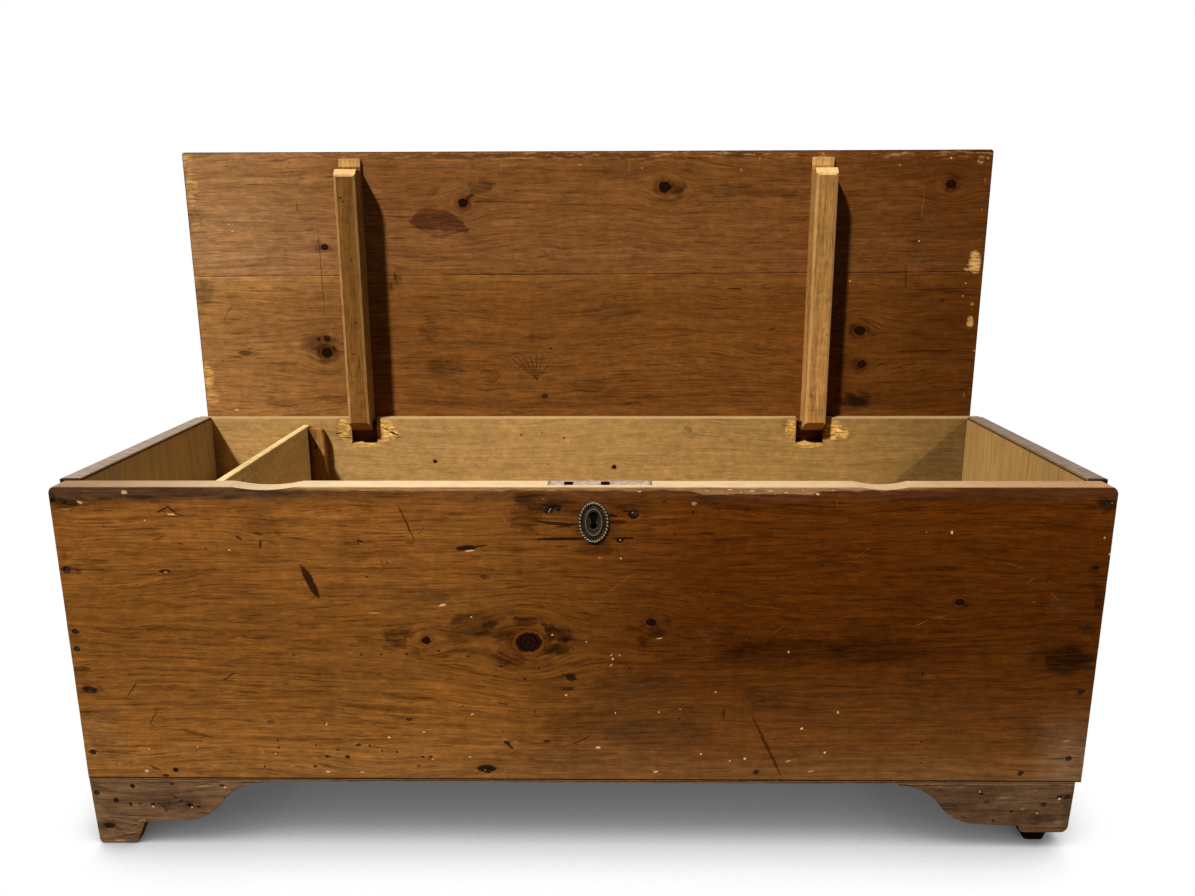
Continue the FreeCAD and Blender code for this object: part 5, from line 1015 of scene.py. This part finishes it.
# %% Iron and brass
def metal(name, dark, light, rust, shine, metallic=0.9, proud=None, proud_colour=(190, 178, 158), extra=None):
    """Old metal. proud is the two places along y between which the finish turns to its rubbed colour."""
    f = Finish(name)
    place = f.three("MULTIPLY", f.node("TexCoord", out=3), (1000, 1000, 1000))
    mottle = f.cloud(place, 6, 4, 0.6)
    fine = f.cloud(place, 0.9, 2)
    colour = f.mix(f.step(mottle, 0.35, 0.65), linear(*dark), linear(*light))
    rusty = f.step(f.cloud(f.three("ADD", place, (40, 7, 3)), 4, 4, 0.65), 0.52, 0.66)
    colour = f.mix(rusty, colour, linear(*rust))
    if proud:
        rubbed = f.times(f.step(f.axes(place)[1], *proud), f.step(fine, 0.3, 0.6, 0.45, 1.0))
        colour = f.paint(rubbed, colour, *proud_colour)
    if extra:
        colour = extra(f, place, colour)
    height = f.times_add(mottle, 0.7, f.times(fine, 0.3))
    relief = f.node("Bump", {"Strength": 0.4, "Distance": 0.0004, "Height": height})
    rough = f.times_add(mottle, 0.3, 1 - shine)
    rough = f.times_add(rusty, 0.2, rough, clamp=True)
    return f.done(f.node("BsdfPrincipled", {"Base Color": colour, "Roughness": rough, "Normal": relief,
                                            "Metallic": f.times_add(rusty, -0.7 * metallic, metallic),
                                            "Specular IOR Level": 0.1}))


def plate_wear(f, place, colour):
    x, y = f.axes(place)[:2]
    colour = f.tint(f.step(y, -201.5, -203.5), colour, (1.3, 1.28, 1.24))
    grime = f.sum("MAXIMUM", f.step(x, 74, 79), f.step(x, -31, -35))
    colour = f.paint(f.times(grime, 0.6), colour, 60, 46, 38)
    # painted shade: two near-black patches on the top plate stand for the dark hasp slots
    for middle in (-12.5, 28.1):
        wide = f.step(f.sum("ABSOLUTE", f.sum("SUBTRACT", x, middle)), 5.3, 4.6)
        deep = f.step(f.sum("ABSOLUTE", f.sum("ADD", y, 196.4)), 8.0, 6.8)
        colour = f.paint(f.times(wide, deep), colour, 16, 12, 10)
    return colour


plate_iron = metal("plate_iron", (132, 118, 103), (160, 146, 130), (112, 88, 72), 0.4, 0.3, extra=plate_wear)
nail_iron = metal("nail_iron", (22, 14, 10), (50, 36, 27), (44, 25, 14), 0.25, 0.1)
old_brass = metal("old_brass", (28, 21, 14), (54, 43, 28), (22, 17, 12), 0.4, 0.3, (-210.3, -211.15),
                  (158, 140, 108))
print("metals ready")

# %% [markdown]
# The key plate is a thin brass oval, pressed with a rope border, a dished ring and a raised collar round
# the key hole. A lathe can't make it because it isn't round, so loops of edges step outwards from the key
# hole and are bridged, and each loop then gets its own height. The rope is a row of slanting beads on the
# border.

# %% The key plate
PLATE_MIDDLE = Vector((15.3, 406.2))  # across the chest, up from the floor
KEY_WAIST = Vector((15.3, 408.0))
KEY_ROUNDS = ((15.3, 413.6, 5.4), (15.3, 402.4, 4.4), (15.3, 408.0, 3.2))
AROUND = 64
plate_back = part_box("escutcheon")[1][1] / MM
print("the plate's back is at", round(plate_back, 2), "mm")


def key_outline(angle):
    """How far the key hole reaches from its waist in a direction, as a round head on a narrower foot."""
    way = Vector((math.cos(angle), math.sin(angle)))
    reach = 1.4
    for x, z, radius in KEY_ROUNDS:
        start = Vector((x, z)) - KEY_WAIST
        along_way = start.dot(way)
        inside = radius ** 2 - start.length_squared + along_way ** 2
        if inside > 0:
            reach = max(reach, along_way + math.sqrt(inside))
    return reach


def plate_loop(shape, half_wide, half_tall, depth, key_share=0.0):
    """One closed loop of edges on the plate. key_share of 1 follows the key hole, and 0 the oval."""
    ring = []
    for step in range(AROUND):
        angle = 2 * math.pi * step / AROUND
        oval = Vector((half_wide * math.cos(angle), half_tall * math.sin(angle))) + PLATE_MIDDLE
        hole = KEY_WAIST + key_outline(angle) * Vector((math.cos(angle), math.sin(angle)))
        spot = oval.lerp(hole, key_share)
        ring.append(shape.verts.new((spot.x * MM, (plate_back - depth) * MM, spot.y * MM)))
    return [shape.edges.new((ring[i], ring[(i + 1) % AROUND])) for i in range(AROUND)]


shape = bmesh.new()
steps = [(0, 0, 0.0, 1.0), (0, 0, 1.5, 1.0), (6.6, 11.6, 1.9, 0.85), (7.2, 12.4, 1.3, 0.5),
         (8.0, 13.8, 1.2, 0), (8.5, 14.5, 1.9, 0), (9.1, 15.3, 2.1, 0), (9.8, 16.2, 1.6, 0),
         (10.8, 17.4, 1.0, 0), (12.6, 19.3, 0.8, 0), (13.6, 20.4, 0.9, 0), (14.4, 21.3, 1.5, 0),
         (15.6, 22.6, 1.6, 0), (16.6, 23.6, 1.2, 0), (17.0, 24.0, 0.6, 0), (17.0, 24.0, 0.0, 0)]
loops = [plate_loop(shape, wide, tall, depth, share) for wide, tall, depth, share in steps]
for inner, outer in zip(loops, loops[1:] + loops[:1]):
    bmesh.ops.bridge_loops(shape, edges=inner + outer)
BEADS = 34
for bead in range(BEADS):
    angle = 2 * math.pi * bead / BEADS
    spot = Vector((PLATE_MIDDLE.x + 15.3 * math.cos(angle), 0, PLATE_MIDDLE.y + 22.2 * math.sin(angle)))
    way = math.atan2(22.2 * math.cos(angle), -15.3 * math.sin(angle)) + math.radians(40)
    made = bmesh.ops.create_icosphere(shape, subdivisions=2, radius=1)["verts"]
    place = (Matrix.Translation(Vector((spot.x, plate_back - 1.65, spot.z)) * MM)
             @ Matrix.Rotation(-way, 4, "Y") @ Matrix.Diagonal(Vector((1.9, 1.0, 0.95, 1 / MM)) * MM))
    bmesh.ops.transform(shape, matrix=place, verts=made)


def finished(name, shape, look, body, slot, *stands_for):
    """Turns a bmesh into a piece that wears a look, rides on a body and stands for CAD nodes."""
    bmesh.ops.remove_doubles(shape, verts=shape.verts, dist=1e-6)
    bmesh.ops.recalc_face_normals(shape, faces=shape.faces)
    mesh = bpy.data.meshes.new(name)
    shape.to_mesh(mesh)
    shape.free()
    piece = bpy.data.objects.new(name, mesh)
    bpy.context.collection.objects.link(piece)
    mesh.materials.append(look)
    if stands_for:
        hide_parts(*stands_for)
    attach(piece, body)
    return piece


for face in shape.faces:
    face.smooth = True
key_plate = finished("key_plate", shape, old_brass, "box", "old_brass", "escutcheon")
print("key plate", len(key_plate.data.polygons), "faces")

# %% [markdown]
# Two broken nails from an older plate are left beside this one. Each is a squashed ball with few faces, set
# on the board so that only its top stands out.

# %% Old nails beside the plate
OLD_NAILS = ((-37.4, 420.9, 4.2, 3.4), (-24.0, 421.6, 2.6, 1.8), (60.8, 414.5, 3.6, 3.6))
noise.seed_set(7)  # noise_vector would otherwise start from the clock, and the nails would differ each time
shape = bmesh.new()
for x, z, wide, tall in OLD_NAILS:
    made = bmesh.ops.create_icosphere(shape, subdivisions=2, radius=1)["verts"]
    bmesh.ops.transform(shape, verts=made, matrix=Matrix.Translation(Vector((x, plate_back + 0.1, z)) * MM)
                        @ Matrix.Diagonal(Vector((wide, 1.2, tall, 1 / MM)) * MM))
    for vert in made:
        vert.co += 0.35 * MM * noise.noise_vector(vert.co / (2.2 * MM))
finished("old_nails", shape, nail_iron, "box", "iron")
print("old nails", len(OLD_NAILS))

# %% [markdown]
# Nobody has a sharp arris left on an old board. A worn board starts as a merged copy of the CAD mesh. Its
# long arrises are bevelled, the bevel is cut across every centimetre or so, and noise then rubs it inwards
# unevenly. The flat faces stay flat, because points on them only slide within their own plane. The battens
# first get a planed chamfer of 6 mm, and the front board a rounder left corner. No point may leave the box
# of its CAD node. A Bevel modifier would be quicker, but it leaves a machine-made edge.

# %% Worn boards
CORNER_RADIUS = 9  # mm, the left top corner of the front board
LONG_ENOUGH = 0.3  # an arris is worn if it is longer than this share of its board
CUT_STRAYS = 0.35  # how far a cut strays from its even place


def bevel(shape, edges, width, segments):
    """Bevels edges by a width in millimetres and hands back the new faces."""
    return set(bmesh.ops.bevel(shape, geom=edges, offset=width * MM, offset_type="OFFSET", segments=segments,
                               profile=0.5, affect="EDGES", material=-1, clamp_overlap=True)["faces"])


def round_left_corner(shape, low, high, radius):
    """Cut fans of edges through the corner's middle, and draw what lies outside the radius onto it."""
    middle = Vector((low.x + radius, 0, high.z - radius))
    for turn in range(6):
        angle = math.radians(18 * turn)
        bmesh.ops.bisect_plane(shape, geom=shape.verts[:] + shape.edges[:] + shape.faces[:], plane_co=middle,
                               plane_no=(math.sin(angle), 0, math.cos(angle)), dist=1e-7)
    for vert in shape.verts:
        way = Vector((vert.co.x - middle.x, 0, vert.co.z - middle.z))
        if way.x < 0 < way.z and way.length > radius:
            vert.co.xz = middle.xz + way.xz * (radius / way.length)


def worn(name, look, width, rub, every, planed=0):
    """A worn copy of a board. In millimetres: the width of the bevel, the most that is rubbed off, the step
    from cut to cut, and the width of a planed chamfer on the front."""
    node = nodes[name]
    shape = bmesh.new()
    shape.from_mesh(node.data)
    bmesh.ops.remove_doubles(shape, verts=shape.verts, dist=2e-6)
    bmesh.ops.dissolve_limit(shape, angle_limit=math.radians(1), verts=shape.verts, edges=shape.edges)
    low, high = (Vector(corner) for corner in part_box(name))
    longest = max(high - low)
    rounded = set()
    if name == "front_board":
        round_left_corner(shape, low, high, CORNER_RADIUS * MM)
    if planed:
        front = [e for e in shape.edges if all(abs(v.co.y - low.y) < 1e-5 for v in e.verts)
                 and e.calc_face_angle(0) > 0.3]
        rounded |= bevel(shape, front, planed, 1)
        print(name, "planed", len(front))
    sharp = {edge for edge in shape.edges if len(edge.link_faces) == 2
             and edge.calc_face_angle(0) > math.radians(35) and edge.is_convex}
    chosen, waiting = [], set(sharp)
    while waiting:
        group, front = [], [waiting.pop()]
        while front:
            edge = front.pop()
            group.append(edge)
            for vert in edge.verts:
                for other in vert.link_edges:
                    if other in waiting:
                        waiting.discard(other)
                        front.append(other)
        spots = [vert.co for edge in group for vert in edge.verts]
        reach = max(max(s[i] for s in spots) - min(s[i] for s in spots) for i in range(3))
        if reach > LONG_ENOUGH * longest:
            chosen += group
    made = bevel(shape, chosen, width, 2)
    rounded = {face for face in rounded if face.is_valid} | made
    for axis in range(3):
        count = int((high[axis] - low[axis]) / (every * MM))
        for cut in range(1, count):
            spot = Vector((0, 0, 0))
            stray = CUT_STRAYS * noise.noise((cut, axis, 5))
            spot[axis] = low[axis] + (high[axis] - low[axis]) * (cut + stray) / count
            way = Vector([float(i == axis) for i in range(3)])
            near = [f for f in rounded if f.is_valid and min(v.co[axis] for v in f.verts) < spot[axis]
                    < max(v.co[axis] for v in f.verts)]
            geom = near + list({e for f in near for e in f.edges}) + list({v for f in near for v in f.verts})
            if near:
                out = bmesh.ops.bisect_plane(shape, geom=geom, plane_co=spot, plane_no=way, dist=1e-7)
                rounded |= {g for g in out["geom"] if isinstance(g, bmesh.types.BMFace)}
    rounded = {f for f in rounded if f.is_valid}
    shape.normal_update()
    moves = []
    for vert in {v for f in rounded for v in f.verts}:
        p = vert.co / MM
        amount = 0.35 + 0.8 * noise.noise(p / 31) + 0.55 * noise.noise(p / 11) + 0.4 * noise.noise(p / 5)
        push = -vert.normal * max(0.0, amount) * rub * MM
        for face in vert.link_faces:
            if face not in rounded:
                push -= face.normal * push.dot(face.normal)
        moves.append((vert, push))
    for vert, push in moves:
        vert.co += push
    for vert in shape.verts:
        vert.co = [min(max(at, start), stop) for at, start, stop in zip(vert.co, low, high)]
    for face in shape.faces:
        face.smooth = face in rounded
    body = body_of(node)
    piece = finished("worn_" + name, shape, look, body if isinstance(body, str) else body[0], SLOT_OF[name],
                     name)
    return len(piece.data.polygons)


SLOT_OF = {row["node"]: row["material_slot"] for row in frame["record"]["subparts"]}
WORN = {"front_board": (front_pine, 1.4, 0.6, 10), "back_board": (back_pine, 1.0, 0.5, 16),
        "left_side_board": (left_pine, 0.9, 0.5, 12), "right_side_board": (right_pine, 0.9, 0.5, 12),
        "lid_front_board": (lid_pine, 0.9, 0.45, 12), "lid_rear_board": (lid_pine, 1.0, 0.4, 16),
        "lid_batten_left": (batten_pine, 0.9, 0.4, 14, 6.0),
        "lid_batten_right": (batten_pine, 0.9, 0.4, 14, 6.0),
        "front_bracket_left": (foot_pine, 2.2, 1.3, 6), "front_bracket_right": (foot_pine, 2.2, 1.3, 6),
        "base_strip_front": (foot_pine, 0.7, 0.35, 9), "till_side": (till_pine, 0.7, 0.3, 12),
        "corner_block_front_right": (block_pine, 2.5, 1.0, 7)}
for name, wear in WORN.items():
    print(name, worn(name, *wear), "faces")

# %% [markdown]
# The till's rear cleat is an offcut with a wavy right edge. Its outline goes round once, and is then drawn
# out to its thickness and bevelled.

# %% The cleat
CLEAT = ((-415, 312), (-388.9, 312), (-389, 352), (-389.8, 364), (-391.5, 376), (-391.6, 398), (-391.8, 417),
         (-392.6, 425), (-394.6, 431), (-398.6, 433.6), (-407, 433.9), (-415, 433))
low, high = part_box("till_cleat_back")
shape = bmesh.new()
outline = shape.faces.new([shape.verts.new((x * MM, high[1], z * MM)) for x, z in CLEAT])
drawn = bmesh.ops.extrude_face_region(shape, geom=[outline])["geom"]
bmesh.ops.translate(shape, vec=(0, low[1] - high[1], 0),
                    verts=[g for g in drawn if isinstance(g, bmesh.types.BMVert)])
bmesh.ops.recalc_face_normals(shape, faces=shape.faces)
front_edges = [e for e in shape.edges if all(abs(v.co.y - low[1]) < 1e-6 for v in e.verts)]
bevel(shape, front_edges, 1.2, 2)
finished("worn_cleat", shape, cleat_pine, "box", SLOT_OF["till_cleat_back"], "till_cleat_back")
print("cleat outline points", len(CLEAT))

# %% [markdown]
# Every CAD node that still shows gets its look here, by the slot that the record gives it.

# %% Looks for the rest
inner_pine = pine("inner_pine", "xyz", ((0, 176, 138, 80), (1, 166, 126, 70)), seed=23.0, gloss=0.2,
                  specks=0.3)
end_foot_pine = pine("end_foot_pine", "yzx", ((0, 100, 66, 36), (1, 92, 60, 34)), tone="y",
                     span=(-210, 200), seed=57.0, gloss=0.35, smoke=0.5, dashes=0.4, edge=0.5)
LOOKS = {"front_pine": front_pine, "side_pine": left_pine, "inner_pine": inner_pine, "till_pine": till_pine,
         "foot_pine": foot_pine, "lid_pine": lid_pine, "batten_pine": batten_pine, "iron": nail_iron,
         "old_brass": old_brass}
BY_NAME = {"lock_plate": plate_iron, "corner_block": block_pine, "side_bracket": end_foot_pine,
           "base_strip_left": end_foot_pine, "base_strip_right": end_foot_pine, "rear_bracket": foot_pine,
           "till_cleat": cleat_pine}
for name, node in nodes.items():
    look = next((BY_NAME[start] for start in BY_NAME if name.startswith(start)), LOOKS.get(SLOT_OF.get(name)))
    for slot in node.material_slots:
        slot.material = look
    if look is None or not node.material_slots:
        print("no look for", name, SLOT_OF.get(name))

# %% [markdown]
# The last cell only imports json.

# %% Import json
import json
